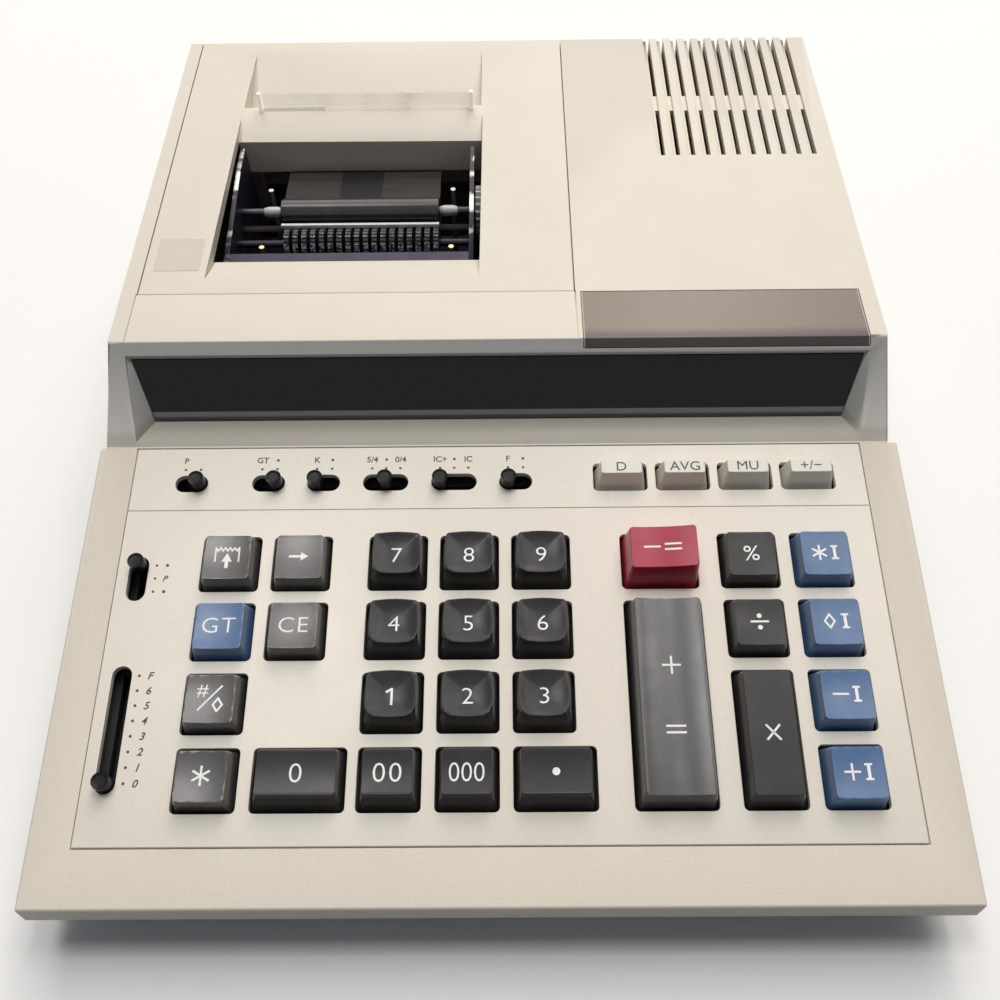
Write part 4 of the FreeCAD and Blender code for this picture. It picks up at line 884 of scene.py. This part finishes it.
word_spread = {"stretch": 1.08, "spacing": 1.10, "bold": legend_bold}
function_signs = {
    "key_paper_feed": paper_and_arrow,
    "key_backspace": arrow_right,
    "key_clear_entry": word("CE", **word_spread),
    "key_number_subtotal": hash_and_lozenge,
    "key_total": lambda x, along: star(x, along, 2.2 * mm),
}
for name, sign in function_signs.items():
    plain_cap(name, umber_grey, [sign(*at_key(name))])
for name, sign in {"key_percent": word("%", stretch=1.08), "key_divide": divide_sign}.items():
    plain_cap(name, charcoal, [sign(*at_key(name))])


# Memory and grand total keys
# The same square caps in mid blue.

left, right = -1.6 * mm, 2.35 * mm
memory_signs = {
    "key_memory_total": lambda x, along: star(x, along, 1.95 * mm),
    "key_memory_subtotal": lambda x, along: lozenge(x, along, 3.6 * mm, 2.5 * mm),
    "key_memory_minus": lambda x, along: bar(x, along, 3.7 * mm),
    "key_memory_plus": lambda x, along: plus_sign(x, along, 3.7 * mm),
}
grand_total_sign = word("GT", **word_spread)
plain_cap("key_grand_total", blue, [grand_total_sign(*at_key("key_grand_total"))])
for name, sign in memory_signs.items():
    plain_cap(name, blue, [sign(*at_key(name, left)), serifed_i(*at_key(name, right))])


# Zero keys and point key
# Charcoal caps hollowed across, with a front wall that is steep at the top and flares at the foot.

zero_height = 4.7 * mm


def zero_cap(name, drawings, stems):
    cap = mould_cap(name, key_height, 1.45 * mm, 3.0 * mm, 0.9 * mm)
    scoop(name, key_height, 0.35 * mm, 1.45 * mm, axis=1)
    step_front(name, key_height, 0.75 * mm)
    complete_key(cap, name, drawings, charcoal, key_height, stems)


zero_look = {"key_0": ("0", 1.08, 1.0), "key_00": ("00", 1.05, 1.12), "key_000": ("000", 0.90, 1.0)}
for name, (figures, stretch, spacing) in zero_look.items():
    drawing = letters(figures, zero_height, *at_key(name, back=0.5 * mm), stretch=stretch, spacing=spacing,
                      bold=legend_bold)
    zero_cap(name, [drawing], wide_stems if name == "key_0" else one_stem)
zero_cap("key_point", [dot(0.95 * mm, *at_key("key_point", back=0.5 * mm))], wide_stems)


# Plus-equals key
# The tallest charcoal cap, three rows long, with a deep trough along it between two narrow rims.

plus_height = 5.6 * mm
x, along = at_key("key_plus_equals", 0.4 * mm)
equals_place = along - 8.6 * mm
plus_and_equals = [plus_sign(x, along + 7.6 * mm, 4.3 * mm), bar(x, equals_place + 0.8 * mm, 4.5 * mm),
                   bar(x, equals_place - 0.8 * mm, 4.5 * mm)]
plus_lean = 0.5 * mm
cap = mould_cap("key_plus_equals", plus_height, 1.25 * mm, 2.3 * mm, 0.8 * mm, plus_lean)
scoop("key_plus_equals", plus_height, 0.80 * mm, 1.25 * mm, rim=0.6 * mm, lean=plus_lean)
complete_key(cap, "key_plus_equals", plus_and_equals, satin_charcoal, plus_height,
             ((0, -15 * mm), (0, 15 * mm)))


# Multiply key
# A charcoal cap two rows long with a flat top.

x, along = at_key("key_multiply")
reach = 1.6 * mm
cross = [strokes([(-reach, -reach * 1.1), (reach, reach * 1.1)], legend_line, x, along),
         strokes([(-reach, reach * 1.1), (reach, -reach * 1.1)], legend_line, x, along)]
cap = mould_cap("key_multiply", key_height, 1.5 * mm, 2.2 * mm, 1.2 * mm)
complete_key(cap, "key_multiply", cross, charcoal, key_height, ((0, -6 * mm), (0, 6 * mm)))


# Minus-equals key
# A taller crimson cap. Its top is hollowed from front to back and leans, higher on the right.

red_height = 9.2 * mm
x, along = at_key("key_minus_equals")
minus_and_equals = []
for right, back in ((-2.7 * mm, 0.2 * mm), (2.7 * mm, 0.9 * mm), (2.7 * mm, -0.6 * mm)):
    minus_and_equals.append(bar(x + right, along + back, 4.0 * mm))
red_lean = 0.35 * mm
cap = mould_cap("key_minus_equals", red_height, 1.15 * mm, 2.2 * mm, 1.2 * mm, red_lean)
scoop("key_minus_equals", red_height, 0.6 * mm, 1.15 * mm, lean=red_lean)
choose("VERT", lambda corner: corner.co.z > red_height - 1.0 * mm)
bpy.ops.transform.rotate(value=math.radians(4), orient_axis="Y", center_override=(x, along, red_height))
complete_key(cap, "key_minus_equals", minus_and_equals, crimson, red_height + 1.0 * mm, wide_stems)


# Small keys
# Four low cream caps with a flat top, their letters printed in black.

cream_finish = moulding("key_cream_plastic", (0.72, 0.70, 0.64), (0.70, 0.67, 0.60), 0.34, 3600.0, 0.00002)
small_words = {"key_date": "D", "key_average": "AVG", "key_markup": "MU", "key_sign_change": "+/−"}
for name, words in small_words.items():
    x, along = key_places[name][:2]
    cap = mould_cap(name, key_height, 1.5 * mm, 2.5 * mm, 1.0 * mm)
    drawing = letters(words, 2.7 * mm, x, along + 0.75 * mm, stretch=1.1)
    complete_key(cap, name, [drawing], cream_finish, paint=panel_ink)


# Slide knobs
# Turned black plastic buttons with a hollowed end, each on a flat shank that reaches down to its switch.

knob_height = 4.0 * mm
knob_foot = 1.0 * mm
shank_length = 14.15 * mm
knob_finish = key_plastic("knob_plastic", (0.007, 0.007, 0.008), (0.013, 0.013, 0.013), 0.12)

for name, (x, along, sideways, step, steps, start) in slides.items():
    shift = (start - steps / 2) * step
    at_x, at_along = (x + shift, along) if sideways else (x, along + shift)
    knob_middle = (at_x, at_along, (knob_height - knob_foot) / 2)
    knob = new_cylinder("knob_" + name[6:], knob_middle, knob_radius, knob_height + knob_foot, 32)
    take_up(knob, edit=True)
    choose("FACE", lambda face: face.normal.z > 0.9)
    bpy.ops.mesh.inset(thickness=0.45 * mm)
    shift_by(0, 0, -0.3 * mm)
    bpy.ops.mesh.inset(thickness=0.5 * mm)
    shift_by(0, 0, -0.15 * mm)
    round_rims(knob, 0.15 * mm, 2, 30)
    shank_size = (3.0 * mm, 2.0 * mm, shank_length) if sideways else (2.0 * mm, 3.0 * mm, shank_length)
    shank = new_block("shank", (at_x, at_along, -knob_foot - shank_length / 2), shank_size)
    joined([knob, shank])
    lay_on_deck(knob)
    complete(knob, knob_finish, name)
    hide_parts(name)


# Display window
# A plate of smoked acrylic, polished, set into the recess in front of the display tube. Its foot is printed
# with a dull grey border on the inside, and the border's upper part is painted lighter as light falling on
# it.

window = whole_copy("display_window", "window")
soften(is_sharp, 0.2 * mm)
window_finish = Finish("window_plastic")
window_level = window_finish.along(2)
border_top = 49.2 * mm
border = 1 - window_finish.ramp(window_level, border_top, border_top + 0.3 * mm)
depths = window_finish.blend(window_finish.noise(9.0), (0.009, 0.012, 0.013), (0.014, 0.018, 0.018))
# Painted light: the printed border is lighter along its upper part and keeps a dark grey below it.
painted_light_on_border = window_finish.ramp(window_level, border_top - 1.6 * mm, border_top - 0.8 * mm)
border_print_and_painted_light = window_finish.blend(painted_light_on_border, (0.060, 0.060, 0.063), (0.230, 0.230, 0.235))
border_tone = window_finish.blend(border, depths, border_print_and_painted_light)
window_gloss = 0.10 + border * 0.25 + window_finish.patches(80.0, 5.0, 0.45, 0.75) * 0.06
window_material = window_finish.surface(Base_Color=border_tone, Roughness=window_gloss,
                                        Specular_IOR_Level=0.15)
complete(window, window_material, "case")
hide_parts("display_window")


# Name plate
# A strip of bronzed aluminium, brushed along its length and folded down over the edge of the housing. It is
# glued into a shallow seat and is bare.

plate_left = 24.15 * mm
plate_right = 103.75 * mm
name_plate = whole_copy("name_plate", "plate")
soften(is_sharp, 0.18 * mm)
plate_finish = Finish("plate_bronze")
across = plate_finish.along(0)
# Both ends of the plate are drawn lighter in a narrow line.
pale_end_lines = (across < plate_left + 0.45 * mm) + (across > plate_right - 0.45 * mm)
brushed = plate_finish.streaks((25, 2600, 2600))
bronze = plate_finish.blend(brushed, (0.140, 0.106, 0.084), (0.190, 0.148, 0.118))
# Painted shade: the part folded down over the edge of the housing is made much darker.
fold_painted_shade = 1 - plate_finish.ramp(plate_finish.along(2), 67.15 * mm, 67.35 * mm)
bronze = plate_finish.blend(fold_painted_shade, bronze, (0.060, 0.046, 0.048))
bronze = plate_finish.blend(pale_end_lines * 0.6, bronze, (0.50, 0.44, 0.38))
plate_sheen = 0.30 + (brushed - 0.5) * 0.15
plate_relief = plate_finish.bump(brushed, 0.00003)
plate_material = plate_finish.surface(Base_Color=bronze, Roughness=plate_sheen, Metallic=0.06,
                                      Normal=plate_relief, Specular_IOR_Level=0.3)
complete(name_plate, plate_material, "case")
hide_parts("name_plate")


# Printer cover
# The lift-off lid over the printer, moulded in the case's plastic: a well over the printer, a ridge that the
# paper rises past, and a ramp behind the ridge. It turns on two pins at the rear.

top_slope = math.radians(3.2)


def top_point(run, drop=0.0):
    """A place on the top of the housing: back from the brow, and down from the surface."""
    back = Vector((0, math.cos(top_slope), math.sin(top_slope)))
    down = Vector((0, math.sin(top_slope), -math.cos(top_slope)))
    return brow + back * run + down * drop


cover = whole_copy("printer_cover", "cover_lid")


def is_cover_edge(edge):
    """The long edges that are seen from above."""
    at = middle(edge)
    deep = top_point((at.y - brow.y) / math.cos(top_slope)).z - at.z
    return is_sharp(edge, 30) and edge.calc_length() > 6 * mm and deep < 16 * mm


soften(is_cover_edge, 0.3 * mm)
complete(cover, case_finish, "cover")
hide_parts("printer_cover")

label_middle = (-94.25 * mm, 35.05 * mm, 0.02 * mm)
label = new_block("label", label_middle, (13.5 * mm, 13.7 * mm, 0.12 * mm))
take_up(label, edit=True)
soften(is_upright, 0.5 * mm, 3)
tip(label, brow, top_slope)
label_finish = Finish("label_film")
lines = label_finish.streaks((40, 900, 40), 2.0)
film = label_finish.blend(lines, (0.580, 0.520, 0.445), (0.625, 0.565, 0.485))
film = label_finish.blend(label_finish.patches(150.0, 4.0, 0.5, 0.7) * 0.2, film, off_white)
complete(label, label_finish.surface(Base_Color=film, Roughness=0.42 + lines * 0.1), "cover")


# Tear-off blade
# A clear acrylic strip with fine teeth, standing on the ridge behind the well, with a white block moulded at
# each end.

blade_left, blade_right = -79.0 * mm, -7.8 * mm
blade_teeth = 59
blade = whole_copy("tear_bar", "tear_blade")
tooth = (blade_right - blade_left) / blade_teeth
for number in range(1, 2 * blade_teeth):
    slice_across((blade_left + number * tooth / 2, 0, 0), (1, 0, 0))
blade_top = max(corner.co.z for corner in bmesh.from_edit_mesh(blade.data).verts)


def is_tooth_root(corner):
    place = (corner.co.x - blade_left) / tooth
    return corner.co.z > blade_top - 0.3 * mm and abs(place - round(place)) < 0.1


choose("VERT", is_tooth_root)
shift_by(0, 0, -0.35 * mm)
blade_finish = Finish("blade_plastic")
across = blade_finish.along(0)
ends = (across < blade_left + 1.1 * mm) + (across > blade_right - 1.1 * mm)
smears = blade_finish.ramp(blade_finish.streaks((55, 20, 20)), 0.40, 0.70)
clear = blade_finish.blend(smears, (0.84, 0.82, 0.82), (0.93, 0.92, 0.94))
clear = blade_finish.blend(ends, clear, (0.95, 0.93, 0.87))
# Painted glow: the white end blocks give off a faint light of their own, as if lit through from behind.
painted_glow = blade_finish.blend(ends, (0.0, 0.0, 0.0), (0.95, 0.92, 0.82))
see_through = 0.10 + smears * 0.20 + ends
blade_material = blade_finish.surface(Base_Color=clear, Alpha=see_through, Roughness=0.12 + smears * 0.15,
                                      Emission_Color=painted_glow, Emission_Strength=0.3)
complete(blade, blade_material, "cover")
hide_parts("tear_bar")


# Platen
# A rubber roller on a steel shaft, a light plastic collar at each end, and the feed gear at the right, cut
# from white acetal.

platen_at = top_point(67.7 * mm, 12.0 * mm)
platen_left, platen_right = -69.3 * mm, -18.6 * mm
platen_radius = 4.1 * mm
gear_side = -7.2 * mm


def rod(name, left, right, at, radius, sides=48, rounding=0.0, segments=2):
    """A round bar along the printer's width, its rims rounded if that is wanted."""
    centre = ((left + right) / 2, at.y, at.z)
    piece = new_cylinder(name, centre, radius, right - left, sides, (0, math.radians(90), 0))
    if rounding:
        take_up(piece, edit=True)
        soften(lambda edge: is_sharp(edge, 60), rounding, segments)
    return piece


def steel(name, dull, bright, roughness, metallic, scratches=(60, 900, 900), shine=0.5):
    """Rolled steel: fine scratches one way, and stains."""
    finish = Finish(name)
    scratch = finish.streaks(scratches)
    stain = finish.patches(120.0, 4.0, 0.42, 0.72)
    tone = finish.blend(scratch, dull, bright)
    tone = finish.blend(stain * 0.5, tone, dull)
    sheen = roughness + (scratch - 0.5) * 0.2 + stain * 0.08
    return finish.surface(Base_Color=tone, Roughness=sheen, Metallic=metallic,
                          Normal=finish.bump(scratch, 0.00003), Specular_IOR_Level=shine)


roller = rod("platen_rubber", platen_left, platen_right, platen_at, platen_radius, 64, 0.35 * mm, 3)
rubber_finish = Finish("platen_rubber")
ground = rubber_finish.streaks((900, 200, 200))
worn = rubber_finish.ramp(rubber_finish.streaks((90, 25, 25)), 0.40, 0.65)
rubber_tone = rubber_finish.blend(worn, (0.028, 0.023, 0.024), (0.044, 0.037, 0.037))
rubber_sheen = 0.24 + (ground - 0.5) * 0.08 - worn * 0.05
rubber = rubber_finish.surface(Base_Color=rubber_tone, Roughness=rubber_sheen, Specular_IOR_Level=0.35,
                               Normal=rubber_finish.bump(ground, 0.00001))
complete(roller, rubber, "platen")
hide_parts("platen_roller")

shaft_left = -84.4 * mm
shaft_radius = 1.2 * mm
shaft_rounding = 0.25 * mm
blued_steel = steel("shaft_steel", (0.030, 0.028, 0.036), (0.080, 0.076, 0.090), 0.30, 0.4, shine=0.3)
shaft = rod("platen_shaft", shaft_left, -3.7 * mm, platen_at, shaft_radius, rounding=shaft_rounding)
complete(shaft, blued_steel, "platen")

collar_finish = moulding("collar_plastic", (0.56, 0.55, 0.54), (0.44, 0.43, 0.42), 0.32, 2600.0, 0.00004)
collar_length = 6.0 * mm
collar_radius = 1.7 * mm
for side, left in (("left", platen_left - collar_length), ("right", platen_right)):
    right = left + collar_length
    collar = rod("collar_" + side, left, right, platen_at, collar_radius, 32)
    take_up(collar, edit=True)
    for place in (left + 1.6 * mm, left + 4.4 * mm):
        slice_across((place, 0, 0), (1, 0, 0))
    choose("VERT", lambda corner: min(abs(corner.co.x - left), abs(corner.co.x - right)) < 0.1 * mm)
    collar_middle = ((left + right) / 2, platen_at.y, platen_at.z)
    bpy.ops.transform.resize(value=(1, 0.76, 0.76), center_override=collar_middle)
    round_rims(collar, 0.3 * mm, 3, 12)
    complete(collar, collar_finish, "platen")

feed_gear = whole_copy("platen_roller", "feed_gear")
slice_across((gear_side, 0, 0), (1, 0, 0), clear_inner=True, use_fill=True)
acetal = moulding("gear_acetal", (0.68, 0.67, 0.62), (0.58, 0.56, 0.50), 0.34, 1800.0, 0.00004)
complete(feed_gear, acetal, "platen", smooth=28)


# Type wheels
# Eighteen moulded print wheels side by side on one shaft, each with a ring of raised characters.

wheel_at = top_point(55.1 * mm, 14.2 * mm)
wheel_radius = 4.7 * mm
wheel_width = 1.9 * mm
wheel_left = -67.3 * mm
type_height = 0.45 * mm
wheel_pitch = 2.77 * mm
wheel_count = 18
characters = 24
wheels = rod("wheels", wheel_left, wheel_left + wheel_width, wheel_at, wheel_radius - type_height, characters)
take_up(wheels, edit=True)
choose("FACE", lambda face: abs(face.normal.x) < 0.1)
bpy.ops.mesh.inset(thickness=0.16 * mm, depth=type_height, use_individual=True)
choose("FACE", lambda face: abs(face.normal.x) > 0.9)
bpy.ops.mesh.inset(thickness=1.1 * mm, depth=-0.25 * mm)
start_clean()
apply_modifier(wheels, "ARRAY", use_relative_offset=False, use_constant_offset=True,
               constant_offset_displace=(wheel_pitch, 0, 0), count=wheel_count)
wheel_finish = Finish("wheel_plastic")
from_axis = {"Vector": wheel_finish.place(), "Location": (0, -wheel_at.y, -wheel_at.z), "Scale": (0, 1, 1)}
spoke = wheel_finish.node("ShaderNodeMapping", {}, from_axis)
reach = wheel_finish.node("ShaderNodeVectorMath", {"operation": "LENGTH"}, {0: spoke}, 1)
type_face = wheel_finish.ramp(reach, wheel_radius - 0.30 * mm, wheel_radius - 0.12 * mm)
inked = wheel_finish.patches(1100.0, 3.0, 0.42, 0.60)
# Painted glints: below a height the type faces are made much lighter, as if catching the light; above it they
# are only a little paler than the wheel.
painted_glint_band = 1 - wheel_finish.ramp(wheel_finish.along(2), wheel_at.z + 2.4 * mm, wheel_at.z + 3.2 * mm)
wheel_tone = wheel_finish.blend(inked, (0.010, 0.009, 0.012), (0.022, 0.020, 0.026))
pale_type_and_painted_glints = type_face * (1 - inked) * (0.12 + painted_glint_band * 0.75)
wheel_tone = wheel_finish.blend(pale_type_and_painted_glints, wheel_tone, (0.62, 0.61, 0.61))
wheel_plastic = wheel_finish.surface(Base_Color=wheel_tone, Roughness=0.22 + inked * 0.2,
                                     Specular_IOR_Level=0.25)
complete(wheels, wheel_plastic, "type_wheels")
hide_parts("type_wheels")

wheel_shaft = rod("wheel_shaft", shaft_left, -7.1 * mm, wheel_at, shaft_radius, rounding=shaft_rounding)
dark_steel = steel("dark_steel", (0.014, 0.011, 0.022), (0.036, 0.030, 0.050), 0.32, 0.3, shine=0.2)
complete(wheel_shaft, dark_steel, "type_wheels")


# Printer chassis
# Two blackened steel side plates on a floor, tied in front by a violet-grey crossbar. The upward faces along
# the top of the plates carry painted glints: a bright steel broken by dark patches.

def paint_faces(piece, material, test):
    """Gives a second material to the faces that pass a test."""
    take_up(piece, edit=True)
    piece.data.materials.append(material)
    choose("FACE", test)
    piece.active_material_index = len(piece.data.materials) - 1
    bpy.ops.object.material_slot_assign()


chassis = whole_copy("printer_frame", "chassis")
soften(lambda edge: is_sharp(edge, 60) and edge.calc_length() > 2 * mm, 0.15 * mm)
chassis.data.materials.clear()
chassis.data.materials.append(dark_steel)
# Painted glints on the upward faces of the plates' tops, broken by dark patches.
glint_finish = Finish("painted_glint_steel")
oily = glint_finish.patches(150.0, 4.0, 0.36, 0.50)
glint_tone = glint_finish.blend(oily, (0.60, 0.58, 0.57), (0.034, 0.028, 0.038))
glint_painted_steel = glint_finish.surface(Base_Color=glint_tone, Roughness=0.25 + oily * 0.2, Metallic=0.4,
                             Specular_IOR_Level=0.3)
violet_steel = steel("crossbar_paint", (0.034, 0.024, 0.050), (0.054, 0.040, 0.074), 0.42, 0.1, shine=0.2)


def is_between_plates(place):
    return -82.4 * mm < place.x < -8.8 * mm


# The upward faces along the tops of the plates, which get painted glints
def is_sheared_edge(face):
    at = face.calc_center_median()
    return not is_between_plates(at) and face.normal.z > 0.3 and -86 * mm < at.x < -7 * mm and at.z > 55 * mm


def is_crossbar(face):
    at = face.calc_center_median()
    return is_between_plates(at) and at.y < 46 * mm and at.z > 50 * mm


paint_faces(chassis, glint_painted_steel, is_sheared_edge)
paint_faces(chassis, violet_steel, is_crossbar)
complete(chassis, None, "case")
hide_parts("printer_frame")

chassis_floor = 31.5 * mm
brass = steel("brass", (0.42, 0.30, 0.13), (0.72, 0.56, 0.30), 0.28, 0.6, (500, 500, 60))
tinned = steel("tinned_steel", (0.34, 0.33, 0.34), (0.62, 0.61, 0.62), 0.30, 0.6, (500, 500, 60))


# Turned posts on the chassis floor, each with a waist below its head: across, back, top and metal
post_radius = 0.9 * mm
posts = {
    "brass_post_left": (-74.4 * mm, 51.6 * mm, 57.6 * mm, brass),
    "brass_post_right": (-14.5 * mm, 51.2 * mm, 57.6 * mm, brass),
    "rear_post_left": (-74.2 * mm, 77.3 * mm, 60.2 * mm, tinned),
    "rear_post_right": (-14.4 * mm, 77.0 * mm, 60.2 * mm, tinned),
}
for name, (x, y, post_top, metal) in posts.items():
    post_middle = (x, y, (post_top + chassis_floor) / 2)
    post = new_cylinder(name, post_middle, post_radius, post_top - chassis_floor, 20)
    take_up(post, edit=True)
    for height in (post_top - 1.9 * mm, post_top - 1.3 * mm):
        slice_across((0, 0, height), (0, 0, 1))
        choose("VERT", lambda corner: abs(corner.co.z - height) < 0.05 * mm)
        bpy.ops.transform.resize(value=(0.7, 0.7, 1), center_override=(x, y, height))
    soften(lambda edge: is_sharp(edge, 50), 0.15 * mm)
    complete(post, metal, "case")


# Paper guide
# A bent sheet of brown-grey plastic that leads the paper under the platen to a white bar in front of it.

guide = whole_copy("paper_guide", "guide")
soften(lambda edge: is_sharp(edge, 60) and edge.calc_length() > 4 * mm, 0.1 * mm)
ink_left, ink_right = -51.5 * mm, -37.6 * mm
guide_finish = Finish("guide_sheet")
across = guide_finish.along(0)
inked = (across > ink_left) * (across < ink_right)
rubs = guide_finish.streaks((70, 400, 400), 4.0)
guide_tone = guide_finish.blend(rubs, (0.022, 0.017, 0.018), (0.060, 0.048, 0.047))
guide_tone = guide_finish.blend(inked * 0.85, guide_tone, (0.008, 0.007, 0.009))
guide_plastic = guide_finish.surface(Base_Color=guide_tone, Roughness=0.45 + rubs * 0.15,
                                     Specular_IOR_Level=0.12, Normal=guide_finish.bump(rubs, 0.00005))
complete(guide, guide_plastic, "case")
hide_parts("paper_guide")

bar_middle = ((platen_left + platen_right) / 2, 61.8 * mm, 57.7 * mm)
white_bar = new_block("white_bar", bar_middle, (platen_right - platen_left, 1.1 * mm, 1.3 * mm))
take_up(white_bar, edit=True)
soften(is_sharp, 0.2 * mm)
bar_finish = moulding("white_bar_plastic", (0.95, 0.95, 0.94), (0.90, 0.89, 0.87), 0.25, 1500.0, 0.00004)
complete(white_bar, bar_finish, "case")


# Inside parts
# What stands inside the housing or below it: each is as the frame has it, with its own finish.

def finish_node(node, material):
    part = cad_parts[node]
    if not part.material_slots:
        part.data.materials.append(material)
    for material_slot in part.material_slots:
        material_slot.material = material


moulded_parts = {
    "lower_case": ("base_plastic", (0.150, 0.140, 0.132), (0.175, 0.160, 0.148), 0.55, 1500.0, 0.00010),
    "key_frame": ("frame_plastic", (0.020, 0.020, 0.021), (0.030, 0.029, 0.030), 0.5, 1500.0, 0.00006),
    "rubber_feet": ("foot_rubber", (0.018, 0.018, 0.018), (0.034, 0.032, 0.030), 0.75, 3000.0, 0.00008),
    "power_inlet": ("inlet_plastic", (0.016, 0.016, 0.017), (0.026, 0.025, 0.026), 0.42, 2200.0, 0.00005),
}
for node, look in moulded_parts.items():
    finish_node(node, moulding(*look))
steel_parts = {
    "case_screws": ("screw_steel", (0.26, 0.25, 0.24), (0.50, 0.49, 0.47), 0.35, 0.8, (700, 700, 200)),
    "printer_motor": ("motor_steel", (0.30, 0.30, 0.30), (0.46, 0.46, 0.45), 0.34, 0.7, (300, 40, 40)),
}
for node, look in steel_parts.items():
    finish_node(node, steel(*look))
finish_node("motor_pinion", acetal)

board_finish = Finish("board_laminate")
deck_height = board_finish.node("ShaderNodeMapping", {}, {"Vector": board_finish.place(),
                                                          "Rotation": (-deck_slope, 0, 0)})
level = board_finish.node("ShaderNodeSeparateXYZ", {}, {0: deck_height}, 2)
board_level = deck_up.dot(deck_point(0, 0, -16.6 * mm))
switch_part = level > board_level + 0.05 * mm
tracks = board_finish.ramp(board_finish.streaks((260, 90, 90), 1.0), 0.50, 0.53)
laminate = board_finish.blend(tracks, (0.030, 0.075, 0.040), (0.050, 0.125, 0.055))
solder = board_finish.node("ShaderNodeTexVoronoi", {}, {"Vector": board_finish.place(), "Scale": 300.0})
laminate = board_finish.blend(solder < 0.16, laminate, (0.50, 0.50, 0.50))
laminate = board_finish.blend(switch_part, laminate, (0.035, 0.035, 0.036))
finish_node("circuit_board", board_finish.surface(Base_Color=laminate, Roughness=0.40 + tracks * 0.08))

tube_finish = Finish("tube_glass")
tube_gloss = tube_finish.noise(120.0, 3.0)
segments = tube_finish.node("ShaderNodeTexBrick", {"offset": 0.0}, {
    "Vector": tube_finish.place(), "Color1": (0.05, 0.06, 0.06), "Color2": (0.06, 0.07, 0.065),
    "Mortar": (0.018, 0.020, 0.020), "Scale": 110.0, "Mortar Size": 0.03})
finish_node("display_tube", tube_finish.surface(Base_Color=segments, Roughness=0.12 + tube_gloss * 0.12))

core_finish = Finish("core_iron")
laminations = core_finish.streaks((20, 2200, 20), 1.0)
iron = core_finish.blend(laminations, (0.055, 0.050, 0.048), (0.150, 0.135, 0.125))
rust = core_finish.patches(90.0, 4.0, 0.55, 0.75)
iron = core_finish.blend(rust * 0.5, iron, (0.16, 0.075, 0.040))
finish_node("transformer", core_finish.surface(Base_Color=iron, Roughness=0.5 + rust * 0.2,
                                               Normal=core_finish.bump(laminations, 0.00008)))


# Table and lights
# The machine stands on a plain white table under a broad ceiling light behind it. The smaller lamps are
# there for their reflections in the panel and the keys, and the room adds a weak light.

bpy.ops.mesh.primitive_plane_add(size=8)
table = bpy.context.object
table.name = "table"
table_finish = Finish("table_white")
seen = table_finish.node("ShaderNodeLightPath", {}, {}, "Is Camera Ray")
mirrored = table_finish.node("ShaderNodeLightPath", {}, {}, "Is Glossy Ray")
through = table_finish.node("ShaderNodeLightPath", {}, {}, "Is Transmission Ray")
table_tone = table_finish.blend(seen + mirrored + through, (0.22, 0.22, 0.23), (0.93, 0.93, 0.93))
table.data.materials.append(table_finish.surface(Base_Color=table_tone, Roughness=0.8))


lamp_distance = 4.0


def lamp(name, direction, size, energy, colour):
    """A square lamp that faces the machine from one direction."""
    place = Vector(direction).normalized() * lamp_distance
    bpy.ops.object.light_add(type="AREA", location=place)
    light = bpy.context.object
    light.name = name
    light.rotation_euler = place.to_track_quat("Z", "Y").to_euler()
    light.data.size = size
    light.data.energy = energy
    light.data.color = colour


lamp("ceiling", (0.08, 0.63, 0.77), 3.6, 115, (1.0, 0.965, 0.91))
lamp("lamp_left", (-0.20, 0.10, 0.975), 0.90, 32, (1.0, 0.97, 0.93))
lamp("lamp_behind", (0.17, 0.63, 0.76), 0.60, 14, (1.0, 0.90, 0.78))
lamp("lamp_right", (0.36, 0.12, 0.92), 0.80, 14, (1.0, 0.96, 0.90))
for number in range(3):
    lamp("tube_%d" % number, (0.14, 0.14 * number, 0.97), 0.22, 5, (1.0, 0.97, 0.94))

# The room's walls: dim as a light, but white where they are seen or mirrored
world = bpy.data.worlds.new("room")
bpy.context.scene.world = world
world.use_nodes = True
room = world.node_tree.nodes
rays = room.new("ShaderNodeLightPath")
walls = room.new("ShaderNodeMixShader")
white_wall = room.new("ShaderNodeBackground")
white_wall.inputs["Color"].default_value = (1, 1, 1, 1)
dim_wall = room["Background"]
dim_wall.inputs["Color"].default_value = (0.84, 0.90, 1.0, 1)
dim_wall.inputs["Strength"].default_value = 0.14
join = world.node_tree.links.new
seen_or_mirrored = rays.outputs["Is Camera Ray"]
for other in ("Is Glossy Ray", "Is Transmission Ray"):
    either = room.new("ShaderNodeMath")
    either.operation = "ADD"
    join(seen_or_mirrored, either.inputs[0])
    join(rays.outputs[other], either.inputs[1])
    seen_or_mirrored = either.outputs[0]
join(seen_or_mirrored, walls.inputs[0])
join(dim_wall.outputs[0], walls.inputs[1])
join(white_wall.outputs[0], walls.inputs[2])
join(walls.outputs[0], room["World Output"].inputs["Surface"])
